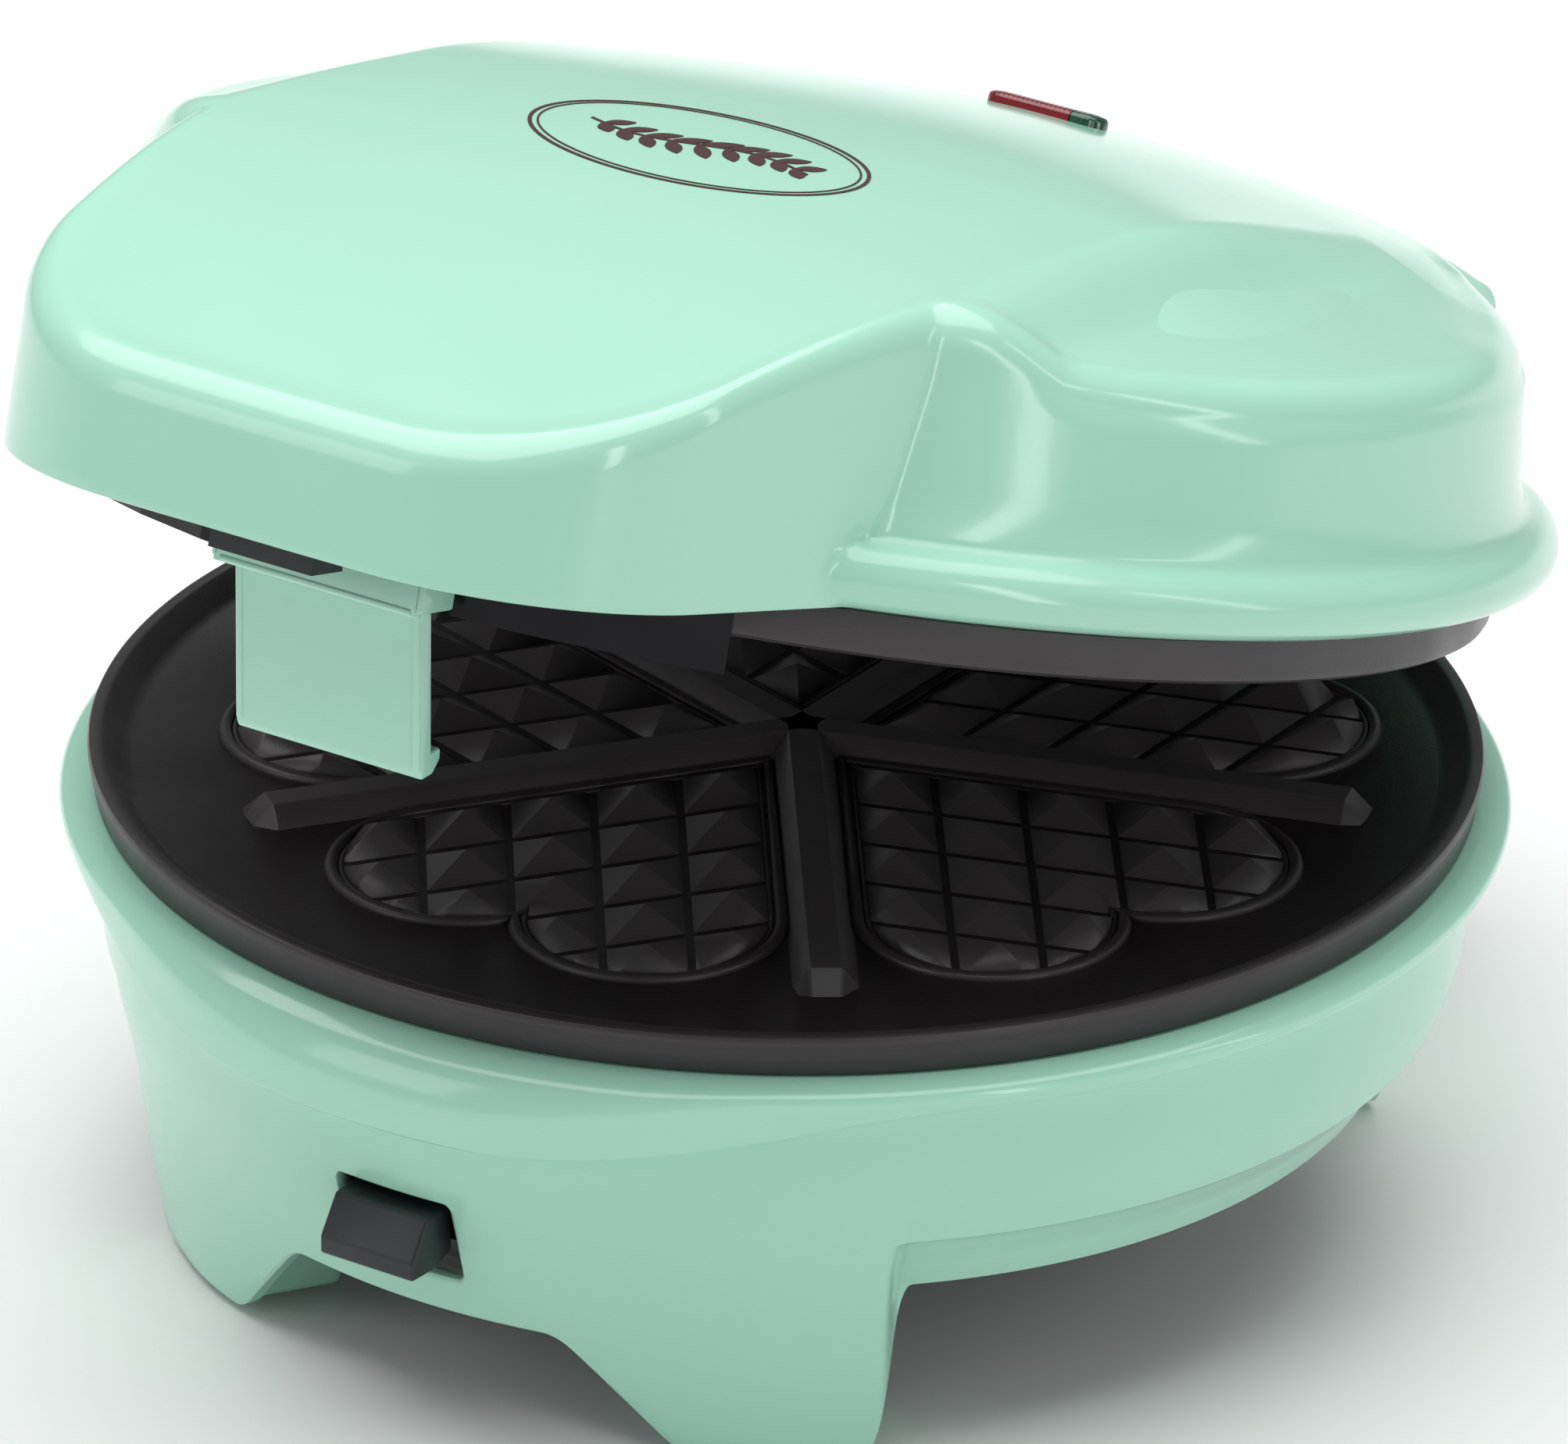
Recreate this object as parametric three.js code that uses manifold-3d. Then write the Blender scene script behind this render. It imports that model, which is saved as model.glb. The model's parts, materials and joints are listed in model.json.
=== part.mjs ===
// Electric heart-waffle maker with a hinged lid, swing latch and interchangeable plates.
// Millimetres, +Z up, -Y is the front. The origin is under the middle of the machine, on the table.

import * as THREE from 'three';
import { mergeVertices } from 'three/addons/utils/BufferGeometryUtils.js';
import Module from 'manifold-3d';

const wasm = await Module();
wasm.setup();

// ---------------------------------------------------------------- driving dimensions

const SEAT = 61;                    // height of the lower plate's seat above the table
const CENTRE_Y = -3.35;             // where the plate centre lies from the middle of the whole machine
const WALL = 2.6;                   // plastic wall thickness
const GAP = 0.3;                    // clearance between neighbouring pieces

const HINGE = { y: 122.1, z: 18.9, knuckle: 8, pin: 2.5 };
const LID_AJAR = THREE.MathUtils.degToRad(15.23);

const PLATE = { radius: 94.4, top: 6, floor: 2.8, under: -1, boss: 84 };
const UPPER = { rim: 6.5, floor: 9.7, back: 12.9, top: 13.8 };
const RIDGE = { count: 5, width: 5, foot: 8.4, reach: 78, top: 5.4 };
const OPENING_R = 88.5;             // hole in the base that the reflector hangs in

const FOOT = {
  angle: 33.6, half: 9, slope: 10.6, side: 1.6, bottom: -60, depth: 16, width: 24, front: -84.5,
};
const FEET = {
  front_right: FOOT.angle,
  front_left: -FOOT.angle,
  rear_right: 180 - FOOT.angle,
  rear_left: FOOT.angle - 180,
};
const PAD = { radius: 7, height: 2.4, proud: 1, y: -76 };
const RING_BOTTOM = -36.5;          // lower edge of the side wall
const FRONT_BOTTOM = -44;           // lower edge of the wall between the front feet
const COVER = { top: -33.8, bottom: -36.2, screwCircle: 60, screwHole: 1.9 };

const TOWER = { half: 31, back: 130, top: 8, ear: 19, earBack: 129, earFront: 116 };

const LID = { rim: 13.4, drumFoot: 96, drumTop: 93, shoulder: 45.2, spineFoot: 49.8, round: 6 };
const NOSE = { front: 134.9, bow: 1.5, side: 61.2, sideY: -68.5, lean: 12, corner: 33.7 };
const BLOCK = { half: 33, back: 126, lift: 16.6, cheek: 1.6 };
const SPINE = { radius: 323, y: 2.4, z: -262.3, crown: 2.5, rearCrown: 7 };
const TAIL_Y = 100;                 // wall that parts the wiring space from the hinge

const LATCH = { y: -110.3, z: 7.4, half: 14.5, thick: 2.6, length: 26, hook: 2, hookTop: 22.8 };
const BRACKET = { half: 16.5, front: -113.9, back: -106.4, top: 13.9, bottom: 4.6 };

const BUTTON = { half: 7.5, front: -98, pivotY: -75, pivotZ: -29, axle: 1.5 };
const ELEMENT = { radius: 62, tube: 3.25, gapAngle: 9 };
const GLAND = { radius: 5.2, bore: 3.3, flange: 8, y: 128, z: -24 };
const LENS = { y: 49.9, z: 57.2, half: 9, radius: 3, split: 5 };

// ---------------------------------------------------------------- small tools

const rad = THREE.MathUtils.degToRad;
const clamp = THREE.MathUtils.clamp;
const smooth = (value, low, high) => THREE.MathUtils.smoothstep(value, low, high);

// Straight-line reading of a short list of [position, value] pairs in rising order.
function read(list, position) {
  if (position <= list[0][0]) return list[0][1];
  for (let i = 1; i < list.length; i += 1) {
    const [x0, y0] = list[i - 1];
    const [x1, y1] = list[i];
    if (position <= x1) return y0 + ((y1 - y0) * (position - x0)) / (x1 - x0);
  }
  return list[list.length - 1][1];
}

// A closed three.js geometry as a manifold solid, wound so that its faces point out.
function solid(geometry) {
  const bare = geometry.clone();
  bare.deleteAttribute('normal');
  bare.deleteAttribute('uv');
  const merged = mergeVertices(bare, 1e-4);
  const position = merged.getAttribute('position');
  const a = new THREE.Vector3();
  const b = new THREE.Vector3();
  const c = new THREE.Vector3();
  const faces = [];
  let volume = 0;
  for (let i = 0; i < merged.index.count; i += 3) {
    const corner = [0, 1, 2].map((k) => merged.index.getX(i + k));
    if (new Set(corner).size < 3) continue;
    a.fromBufferAttribute(position, corner[0]);
    b.fromBufferAttribute(position, corner[1]);
    c.fromBufferAttribute(position, corner[2]);
    volume += a.dot(b.cross(c));
    faces.push(corner);
  }
  if (volume < 0) faces.forEach((corner) => corner.reverse());
  return new wasm.Manifold(new wasm.Mesh({
    numProp: 3,
    vertProperties: new Float32Array(position.array),
    triVerts: new Uint32Array(faces.flat()),
  }));
}

function geometryOf(body) {
  const mesh = body.getMesh();
  const geometry = new THREE.BufferGeometry();
  geometry.setAttribute('position', new THREE.BufferAttribute(new Float32Array(mesh.vertProperties), 3));
  geometry.setIndex(new THREE.BufferAttribute(new Uint32Array(mesh.triVerts), 1));
  geometry.computeVertexNormals();
  return geometry;
}

function box(x, y, z) {
  const geometry = new THREE.BoxGeometry(x[1] - x[0], y[1] - y[0], z[1] - z[0]);
  return solid(geometry.translate((x[0] + x[1]) / 2, (y[0] + y[1]) / 2, (z[0] + z[1]) / 2));
}

// Outline [radius, height] pairs turned about the vertical axis.
function turned(outline, segments = 64) {
  const points = outline.map(([r, z]) => new THREE.Vector2(r, z));
  if (outline[0][0] > 0 || outline[outline.length - 1][0] > 0) points.push(points[0].clone());
  return solid(new THREE.LatheGeometry(points, segments).rotateX(Math.PI / 2));
}

function shapeOf(points) {
  return new THREE.Shape(points.map(([x, y]) => new THREE.Vector2(x, y)));
}

// A plan outline [x, y] given thickness from z0 to z1.
function slab(points, z0, z1) {
  const options = { depth: z1 - z0, bevelEnabled: false };
  return solid(new THREE.ExtrudeGeometry(shapeOf(points), options).translate(0, 0, z0));
}

// A side outline [y, z] given width from x0 to x1.
function profile(points, x0, x1) {
  const geometry = new THREE.ExtrudeGeometry(shapeOf(points), { depth: x1 - x0, bevelEnabled: false });
  const basis = new THREE.Matrix4().makeBasis(
    new THREE.Vector3(0, 1, 0), new THREE.Vector3(0, 0, 1), new THREE.Vector3(1, 0, 0));
  return solid(geometry.applyMatrix4(basis).translate(x0, 0, 0));
}

function barX(radius, x0, x1, y, z, segments = 24) {
  const geometry = new THREE.CylinderGeometry(radius, radius, x1 - x0, segments);
  return solid(geometry.rotateZ(Math.PI / 2).translate((x0 + x1) / 2, y, z));
}

function barZ(radius, z0, z1, x, y, segments = 24) {
  const geometry = new THREE.CylinderGeometry(radius, radius, z1 - z0, segments);
  return solid(geometry.rotateX(Math.PI / 2).translate(x, y, (z0 + z1) / 2));
}

// A round rod bent along a smooth curve.
function rod(points, radius, steps, sides = 8) {
  const curve = new THREE.CatmullRomCurve3(points.map((p) => new THREE.Vector3(...p)));
  const section = Array.from({ length: sides }, (_, k) => {
    const turn = (2 * Math.PI * k) / sides;
    return [radius * Math.cos(turn), radius * Math.sin(turn)];
  });
  return new THREE.ExtrudeGeometry(shapeOf(section), { steps, extrudePath: curve, bevelEnabled: false });
}

function turnedAbout(body, degrees) {
  return body.rotate([0, 0, degrees]);
}

// Skin through rings of points. Rings join first to last, or close on a pole at each end.
function skin(rings, poles = null) {
  const count = rings[0].length;
  const points = rings.flat();
  const index = [];
  const last = poles ? rings.length - 1 : rings.length;
  for (let i = 0; i < last; i += 1) {
    const next = (i + 1) % rings.length;
    for (let j = 0; j < count; j += 1) {
      const a = i * count + j;
      const b = i * count + ((j + 1) % count);
      const c = next * count + j;
      const d = next * count + ((j + 1) % count);
      index.push(a, b, d, a, d, c);
    }
  }
  if (poles) {
    const end = (rings.length - 1) * count;
    points.push(poles[0], poles[1]);
    for (let j = 0; j < count; j += 1) {
      const k = (j + 1) % count;
      index.push(points.length - 2, k, j);
      index.push(points.length - 1, end + j, end + k);
    }
  }
  const geometry = new THREE.BufferGeometry();
  geometry.setAttribute('position', new THREE.Float32BufferAttribute(points.flat(), 3));
  geometry.setIndex(index);
  return solid(geometry);
}

// Angle round the machine: 0 at the front, 90 on the right, 180 at the back.
function around(angle, radius, z) {
  return [radius * Math.sin(rad(angle)), -radius * Math.cos(rad(angle)), z];
}

// Angles every `step` degrees, with `extra` ones on both sides of the machine.
function anglesWith(step, extra) {
  const list = extra.flatMap((angle) => [angle, -angle]);
  for (let angle = -180 + step; angle <= 180; angle += step) {
    if (list.every((other) => Math.abs(other - angle) > 1)) list.push(angle);
  }
  return list.sort((p, q) => p - q);
}

// ---------------------------------------------------------------- base shell

const FOOT_EDGES = (() => {
  const { angle, half, slope, side } = FOOT;
  return [angle - half - slope, angle - half, angle + half, angle + half + side];
})();
const REAR_EDGES = FOOT_EDGES.map((edge) => 180 - edge);

// Lower edge of the base wall: four feet, a low wall between the front pair, a high one elsewhere.
function wallBottom(angle) {
  const a = Math.abs(angle);
  const [slopeStart, footStart, footEnd, sideEnd] = FOOT_EDGES;
  if (a < 90) {
    return read([[slopeStart, FRONT_BOTTOM], [footStart, FOOT.bottom], [footEnd, FOOT.bottom],
      [sideEnd, RING_BOTTOM]], a);
  }
  return read([[180 - sideEnd, RING_BOTTOM], [180 - footEnd, FOOT.bottom],
    [180 - footStart, FOOT.bottom], [180 - slopeStart, RING_BOTTOM]], a);
}

// How much of the wall at this angle belongs to a foot, from 0 to 1.
function footShare(angle) {
  const a = Math.abs(angle);
  const [slopeStart, footStart, footEnd, sideEnd] = FOOT_EDGES;
  if (a < 90) return a < footEnd ? 1 : read([[footEnd, 1], [sideEnd, 0]], a);
  return read([[180 - sideEnd, 0], [180 - footEnd, 1], [180 - footStart, 1], [180 - slopeStart, 0]], a);
}

// Radius of the wall's outer side; it bulges at the front and is drawn in above the ring's lower edge.
function wallRadius(angle, z) {
  const a = Math.abs(angle);
  const ring = read([[RING_BOTTOM, 82.5], [-32, 85], [-28, 88], [-26.3, 89.8], [-25.6, 90.8], [-21, 92.4],
    [-15, 92.9], [-8, 93.2]], z);
  const foot = read([[FOOT.bottom, 85.8], [-48, 87.8], [-33, 89.9], [-24, 92], [-15, 92.9], [-8, 93.2]], z);
  const front = 96 + 0.283 * (z + 13);
  const bulge = 1 - smooth(a, 8, 34);
  const share = footShare(angle);
  const low = foot + (front - foot) * bulge;
  return z < -13 ? ring + (low - ring) * share : low * share + ring * (1 - share);
}

// Outer side of the wall as [radius, height], from the seat over the rolled lip to the lower edge.
function baseOuter(angle) {
  const a = Math.abs(angle);
  const apron = 1 - smooth(a, 4, 34);
  const lip = 1 - smooth(a, 8, 50);
  const edge = [98.2 + 3.2 * apron, -2 - 7.5 * apron];
  const lower = [96 + 4.5 * lip, -4.2 - 8 * lip];
  const inner = [94 + 2 * lip, -5.2 - 7 * lip];
  const rows = [[OPENING_R, 0]];
  for (const turn of [0, 45, 90]) {
    rows.push([94.6 + (edge[0] - 94.6) * Math.sin(rad(turn)), edge[1] * (1 - Math.cos(rad(turn)))]);
  }
  const tuck = [lower[0] + (edge[0] - lower[0]) * 0.75, edge[1] + (lower[1] - edge[1]) * 0.6];
  rows.push(tuck, lower, inner);
  for (const z of [-15, -25.6, -27, -32]) rows.push([wallRadius(angle, z), z]);
  const bottom = wallBottom(angle);
  rows.push([wallRadius(angle, bottom), bottom]);
  return rows;
}

function baseInner(angle) {
  const bottom = wallBottom(angle);
  const rows = [[wallRadius(angle, bottom) - WALL, bottom]];
  for (const z of [-32, -25, -15]) rows.push([wallRadius(angle, z) - WALL, z]);
  rows.push([90.8, -6.5], [90.8, -WALL], [OPENING_R, -WALL]);
  return rows;
}

function baseShell() {
  const angles = anglesWith(12, [...FOOT_EDGES, ...REAR_EDGES]);
  const columns = angles.map((angle) => [...baseOuter(angle), ...baseInner(angle)]
    .map(([r, z]) => around(angle, r, z)));
  let shell = skin(columns[0].map((_, row) => columns.map((column) => column[row])));

  const inner = TOWER.half - WALL;
  const back = TOWER.back - WALL;
  shell = shell.subtract(box([-inner, inner], [70, 118], [-60, -7]));
  const side = [[86, RING_BOTTOM], [TOWER.back, RING_BOTTOM], [TOWER.back, 4],
    [TOWER.back - 3, TOWER.top], [110, TOWER.top], [103, -1], [86, -1]];
  const hollow = [[80, -60], [back, -60], [back, TOWER.top - WALL], [111, TOWER.top - WALL], [104, -4],
    [97, -4], [80, -7]];
  const corners = roundedPlan(TOWER.half, 60, TOWER.back, 10);
  let tower = profile(side, -TOWER.half, TOWER.half).intersect(slab(corners, -60, 20));
  const room = profile(hollow, -inner, inner);
  tower = tower.subtract(room.intersect(slab(roundedPlan(inner, 60, back, 8), -60, 20)));
  for (const sign of [-1, 1]) {
    const ends = [sign * TOWER.ear, sign * TOWER.half].sort((p, q) => p - q);
    tower = tower.add(barX(HINGE.knuckle, ends[0], ends[1], HINGE.y, HINGE.z, 32));
    tower = tower.add(box(ends, [TOWER.earFront, TOWER.earBack], [TOWER.top - 2, HINGE.z]));
  }
  shell = shell.add(tower);
  shell = shell.subtract(barX(HINGE.pin + GAP, -TOWER.half - 1, TOWER.half + 1, HINGE.y, HINGE.z));
  shell = shell.subtract(turned([[0, -30], [OPENING_R, -30], [OPENING_R, 5], [0, 5]], 96));

  const block = box([-FOOT.width / 2, FOOT.width / 2], [FOOT.front, FOOT.front + FOOT.depth],
    [FOOT.bottom, COVER.bottom]);
  const socketTop = FOOT.bottom + PAD.height - PAD.proud + GAP;
  const socket = barZ(PAD.radius + GAP, FOOT.bottom - 1, socketTop, 0, PAD.y);
  for (const angle of Object.values(FEET)) {
    shell = shell.add(turnedAbout(block, angle)).subtract(turnedAbout(socket, angle));
  }
  shell = shell.subtract(box([-9.2, 9.2], [-100, -84], [-38, -25]));
  return shell.subtract(gland(GLAND.radius + GAP));
}

// Plan rectangle from y0 to y1 whose two rear corners are rounded.
function roundedPlan(half, y0, y1, corner) {
  const points = [[-half, y0], [half, y0]];
  for (let turn = 0; turn <= 90; turn += 22.5) {
    const c = Math.cos(rad(turn));
    const s = Math.sin(rad(turn));
    points.push([half - corner + corner * c, y1 - corner + corner * s]);
  }
  for (let turn = 90; turn >= 0; turn -= 22.5) {
    const c = Math.cos(rad(turn));
    const s = Math.sin(rad(turn));
    points.push([-half + corner - corner * c, y1 - corner + corner * s]);
  }
  return points;
}

// ---------------------------------------------------------------- pieces in and under the base

function bottomCover() {
  const outline = [];
  for (let angle = -180; angle < 180; angle += 7.5) {
    const r = Math.min(wallRadius(angle, COVER.bottom), wallRadius(angle, COVER.top)) - WALL - GAP - 0.2;
    outline.push(around(angle, r, 0).slice(0, 2));
  }
  let cover = slab(outline, COVER.bottom, COVER.top);
  cover = cover.add(slab(roundedPlan(TOWER.half - 3, 60, 127, 8), COVER.bottom, COVER.top));
  const reach = FOOT.width / 2 + 0.4;
  const footRoom = box([-reach, reach], [-110, FOOT.front + FOOT.depth + 0.4], [FOOT.bottom, 0]);
  for (const angle of Object.values(FEET)) cover = cover.subtract(turnedAbout(footRoom, angle));
  for (const x of [-8.8, 8.8]) {
    cover = cover.add(box([x - 1.2, x + 1.2], [-78.5, -71.5], [COVER.top - 1, BUTTON.pivotZ + 3]));
  }
  cover = cover.subtract(barX(BUTTON.axle + 0.25, -12, 12, BUTTON.pivotY, BUTTON.pivotZ));
  for (const [x, y] of coverScrews()) {
    cover = cover.subtract(barZ(COVER.screwHole, -40, -30, x, y, 12));
  }
  return cover;
}

function coverScrews() {
  return [-75, 75, 165, -165].map((angle) => around(angle, COVER.screwCircle, 0).slice(0, 2));
}

function screw(x, y, z, length) {
  const side = [[0, 0], [3.2, 0], [3.2, 0.8], [2.2, 1.8], [1.6, 1.8], [1.6, length], [0, length]];
  return turned(side, 8).translate([x, y, z]);
}

function padSolid(angle) {
  const low = FOOT.bottom - PAD.proud;
  const high = low + PAD.height - 0.1;
  const chamfer = 0.6;
  const pad = turned([[0, low], [PAD.radius - chamfer, low], [PAD.radius, low + chamfer],
    [PAD.radius, high], [0, high]], 16);
  return turnedAbout(pad.translate([0, PAD.y, 0]), angle);
}

function gland(radius) {
  const bush = new THREE.CylinderGeometry(radius, radius, 12, 20);
  return solid(bush.translate(0, GLAND.y, GLAND.z));
}

function glandPiece() {
  const flange = new THREE.CylinderGeometry(GLAND.flange, GLAND.flange, 2, 24)
    .translate(0, TOWER.back + 1 + GAP, GLAND.z);
  const bore = new THREE.CylinderGeometry(GLAND.bore, GLAND.bore, 40, 20)
    .translate(0, GLAND.y, GLAND.z);
  return gland(GLAND.radius).add(solid(flange)).subtract(solid(bore));
}

function ridgeSolid(angle, low, high) {
  const half = RIDGE.width / 2;
  const foot = RIDGE.foot / 2;
  const across = [[-foot, low], [foot, low], [half, high], [-half, high]];
  const shape = new THREE.ExtrudeGeometry(shapeOf(across), { depth: RIDGE.reach, bevelEnabled: false });
  return turnedAbout(solid(shape.rotateX(Math.PI / 2)), angle);
}

function lowerPlate() {
  const { radius, top, floor, under, boss } = PLATE;
  let plate = turned([[0, under], [boss, under], [boss, GAP], [radius - 0.9, GAP], [radius, top - 0.8],
    [radius - 0.6, top], [radius - 2, top], [radius - 4.8, floor + 0.4], [88, floor], [0, floor]], 60);
  for (let k = 0; k < RIDGE.count; k += 1) {
    plate = plate.add(ridgeSolid(36 + 72 * k, floor - 1, RIDGE.top));
  }
  const tab = box([-6, 6], [-82.6, -81], [-7, 0]).subtract(box([-4, 4], [-84, -80], [-5.8, -3]));
  return plate.add(tab);
}

function upperPlate() {
  const { radius } = PLATE;
  const { rim, floor, back, top } = UPPER;
  let plate = turned([[0, floor], [88, floor], [radius - 4.8, floor - 0.4], [radius - 2, rim],
    [radius - 0.8, rim], [radius, rim + 1], [radius, back], [PLATE.boss, back], [PLATE.boss, top],
    [0, top]], 60);
  for (let k = 0; k < RIDGE.count; k += 1) {
    plate = plate.add(ridgeSolid(36 + 72 * k, rim + 0.6, floor + 1));
  }
  return plate;
}

// Shallow reflector dish with its rim at `edge`, sinking (rise -1) or rising (rise 1) by `height`.
function pan(edge, rise, height) {
  const z = (h) => edge + rise * h;
  return turned([[88.1, z(0)], [88.1, z(0.8)], [82.5, z(4.6)], [72, z(height)], [0, z(height)],
    [0, z(height - 0.8)], [71.6, z(height - 0.8)], [81.8, z(4)], [86.6, z(0)]], 36);
}

function terminals(z0, z1) {
  const turn = 90 - ELEMENT.gapAngle;
  return [-1, 1].map((sign) => {
    const x = sign * ELEMENT.radius * Math.cos(rad(turn));
    const y = ELEMENT.radius * Math.sin(rad(turn));
    return barZ(ELEMENT.tube + 1, Math.min(z0, z1), Math.max(z0, z1), x, y, 16);
  });
}

function lowerReflector() {
  let body = pan(-1.5, -1, 14);
  for (const hole of terminals(-30, -8)) body = body.subtract(hole);
  return body.subtract(box([-7.5, 7.5], [-90, -78], [-20, 2]));
}

function upperReflector() {
  let body = pan(14.6, 1, 14);
  body = body.scale([0.97, 0.97, 1]);
  for (const hole of terminals(22, 40)) body = body.subtract(hole);
  return body;
}

function heatingElement(z, drop) {
  const points = [];
  const start = 90 - ELEMENT.gapAngle;
  const r = ELEMENT.radius;
  const at = (turn, height) => [r * Math.cos(rad(turn)), r * Math.sin(rad(turn)), height];
  points.push(at(start, z + drop), at(start, z + drop / 2));
  const last = start - 350 + 2 * ELEMENT.gapAngle;
  for (let turn = start - 8; turn > last; turn -= 14) points.push(at(turn, z));
  points.push(at(90 + ELEMENT.gapAngle, z + drop / 2), at(90 + ELEMENT.gapAngle, z + drop));
  return rod(points, ELEMENT.tube, 40, 6);
}

// Small saddle over the heating element, on its right or left.
function clampPiece(side, z, up) {
  const outer = [[-7, 0], [7, 0], [7, 1], [4.8, 1], [4.8, 12.9], [-4.8, 12.9], [-4.8, 1], [-7, 1]];
  const inner = [[-4, -1], [4, -1], [4, 12], [-4, 12]];
  const bend = (list) => list.map(([y, h]) => [y, z + up * h]);
  const strip = profile(bend(outer), -3, 3).subtract(profile(bend(inner), -4, 4));
  return turnedAbout(strip, 90).translate([side * ELEMENT.radius, 0, 0]);
}

function releaseLever() {
  const { half, front, pivotY, pivotZ, axle } = BUTTON;
  const wedge = [[front, -34.6], [front, -32], [-94.5, -26.8], [-89, -26.6], [-89, -33.6],
    [-93.5, -34.8]];
  let lever = profile(wedge, -half, half);
  lever = lever.add(profile([[-90, -31], [-62, -30.4], [-62, -28.2], [-72, -27], [-90, -27]], -5, 5));
  lever = lever.add(box([-3.4, 3.4], [-86.2, -84.2], [-30, -3.5]));
  lever = lever.add(box([-3.4, 3.4], [-85, -81.6], [-5.2, -3.5]));
  lever = lever.add(barX(3.4, -7.1, 7.1, pivotY, pivotZ));
  return lever.subtract(barX(axle + GAP, -12, 12, pivotY, pivotZ));
}

function springCoil(radius, wire, z0, z1, turns, x, y) {
  const points = [];
  for (let k = 0; k <= turns * 8; k += 1) {
    const turn = (2 * Math.PI * k) / 8;
    const z = z0 + ((z1 - z0) * k) / (turns * 8);
    points.push([x + radius * Math.cos(turn), y + radius * Math.sin(turn), z]);
  }
  return rod(points, wire, turns * 8, 4);
}

// ---------------------------------------------------------------- lid

// Distance from the plate centre to the lid's outline: round drum, nose in front, block behind.
function lidOutline(angle, inset, drum) {
  const a = Math.abs(angle);
  const s = Math.sin(rad(a));
  const c = Math.cos(rad(a));
  if (a < 90) {
    const lean = rad(NOSE.lean);
    const n = [Math.cos(lean), Math.sin(lean)];
    const side = (NOSE.side * n[0] - NOSE.sideY * n[1] - inset) / (s * n[0] + c * n[1]);
    const front = (NOSE.front - inset) / c;
    const corner = NOSE.corner;
    const cy = NOSE.front - corner;
    const cx = (NOSE.side * n[0] - NOSE.sideY * n[1] - corner - cy * n[1]) / n[0];
    const low = Math.atan2(cx, NOSE.front - inset);
    const high = Math.atan2(cx + (corner - inset) * n[0], cy + (corner - inset) * n[1]);
    let nose = Math.min(side, front);
    if (rad(a) > low && rad(a) < high) {
      const along = cx * s + cy * c;
      nose = along + Math.sqrt(along * along - cx * cx - cy * cy + (corner - inset) ** 2);
    }
    const bow = NOSE.bow * Math.min(1, (nose * s / 50) ** 2);
    return Math.max(nose - bow, drum - inset);
  }
  const half = BLOCK.half - Math.min(inset, BLOCK.cheek);
  const rear = Math.min((BLOCK.back - inset) / -c, half / Math.max(s, 1e-6));
  return Math.max(rear, drum - inset);
}

function spineHalf(y) {
  return read([[NOSE.sideY, NOSE.side], [0, 59], [50, 55.5], [75, 47.5], [95, 38], [103, 33.2],
    [130, BLOCK.half]], y);
}

// Height of the lid's top skin above the seat.
function lidTop(x, y) {
  const arc = SPINE.z + Math.sqrt(SPINE.radius ** 2 - (y - SPINE.y) ** 2);
  const crown = SPINE.crown + (SPINE.rearCrown - SPINE.crown) * smooth(y, -20, 45);
  const panel = arc - crown * smooth(y, -90, -20) * (x / 60) ** 2;
  if (y < NOSE.sideY) return panel;
  const away = Math.abs(x) - spineHalf(y);
  const reach = Math.max(4, Math.sqrt(Math.max(0, 91 ** 2 - y * y)) - spineHalf(y));
  const fall = (LID.spineFoot - LID.shoulder) * clamp(away / reach, 0, 1);
  const drum = Math.min(LID.spineFoot - fall, panel);
  return drum + (panel - drum) * (1 - smooth(away, -1.5, 3));
}

function lidColumn(angle, inset) {
  const a = Math.abs(angle);
  const drumAt = (z) => LID.drumFoot - (LID.drumFoot - LID.drumTop) * clamp((z - 22) / 23, 0, 1);
  const lift = read([[159.9, 0], [165.3, BLOCK.lift]], a);
  const inside = inset > 0;
  const bead = inside ? [[0, LID.rim], [0, 20]]
    : [[98.4, LID.rim], [100.8, 14.3], [102, 17.2], [101.2, 20.2], [98.6, 22.4], [96, 23.6]];
  const rows = bead.map(([r, z], k) => {
    const reach = Math.max(lidOutline(angle, inset, drumAt(z)), r);
    return [reach, Math.max(z, LID.rim + lift + 0.25 * k)];
  });
  const wall = lidOutline(angle, inset, drumAt(45));
  const shoulder = wall - LID.round;
  const [sx, sy] = around(angle, shoulder, 0);
  const high = lidTop(sx, sy) - (inside ? WALL : 0);
  const foot = rows[rows.length - 1][1];
  const spring = Math.max(high - LID.round, foot + 0.3);
  const middle = (foot + spring) / 2;
  rows.push([lidOutline(angle, inset, drumAt(middle)), middle], [wall, spring]);
  for (const turn of inside ? [60] : [30, 60]) {
    const rise = (high - spring) * Math.sin(rad(turn));
    rows.push([shoulder + LID.round * Math.cos(rad(turn)), spring + rise]);
  }
  for (const part of inside ? [1, 0.7, 0.4] : [1, 0.88, 0.76, 0.64, 0.4]) {
    const [x, y] = around(angle, shoulder * part, 0);
    rows.push([shoulder * part, lidTop(x, y) - (inside ? WALL : 0)]);
  }
  return rows;
}

const LID_ANGLES = anglesWith(10, [8.4, 26, 39.8, 43.6, 56, 165.3, 160]);

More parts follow.
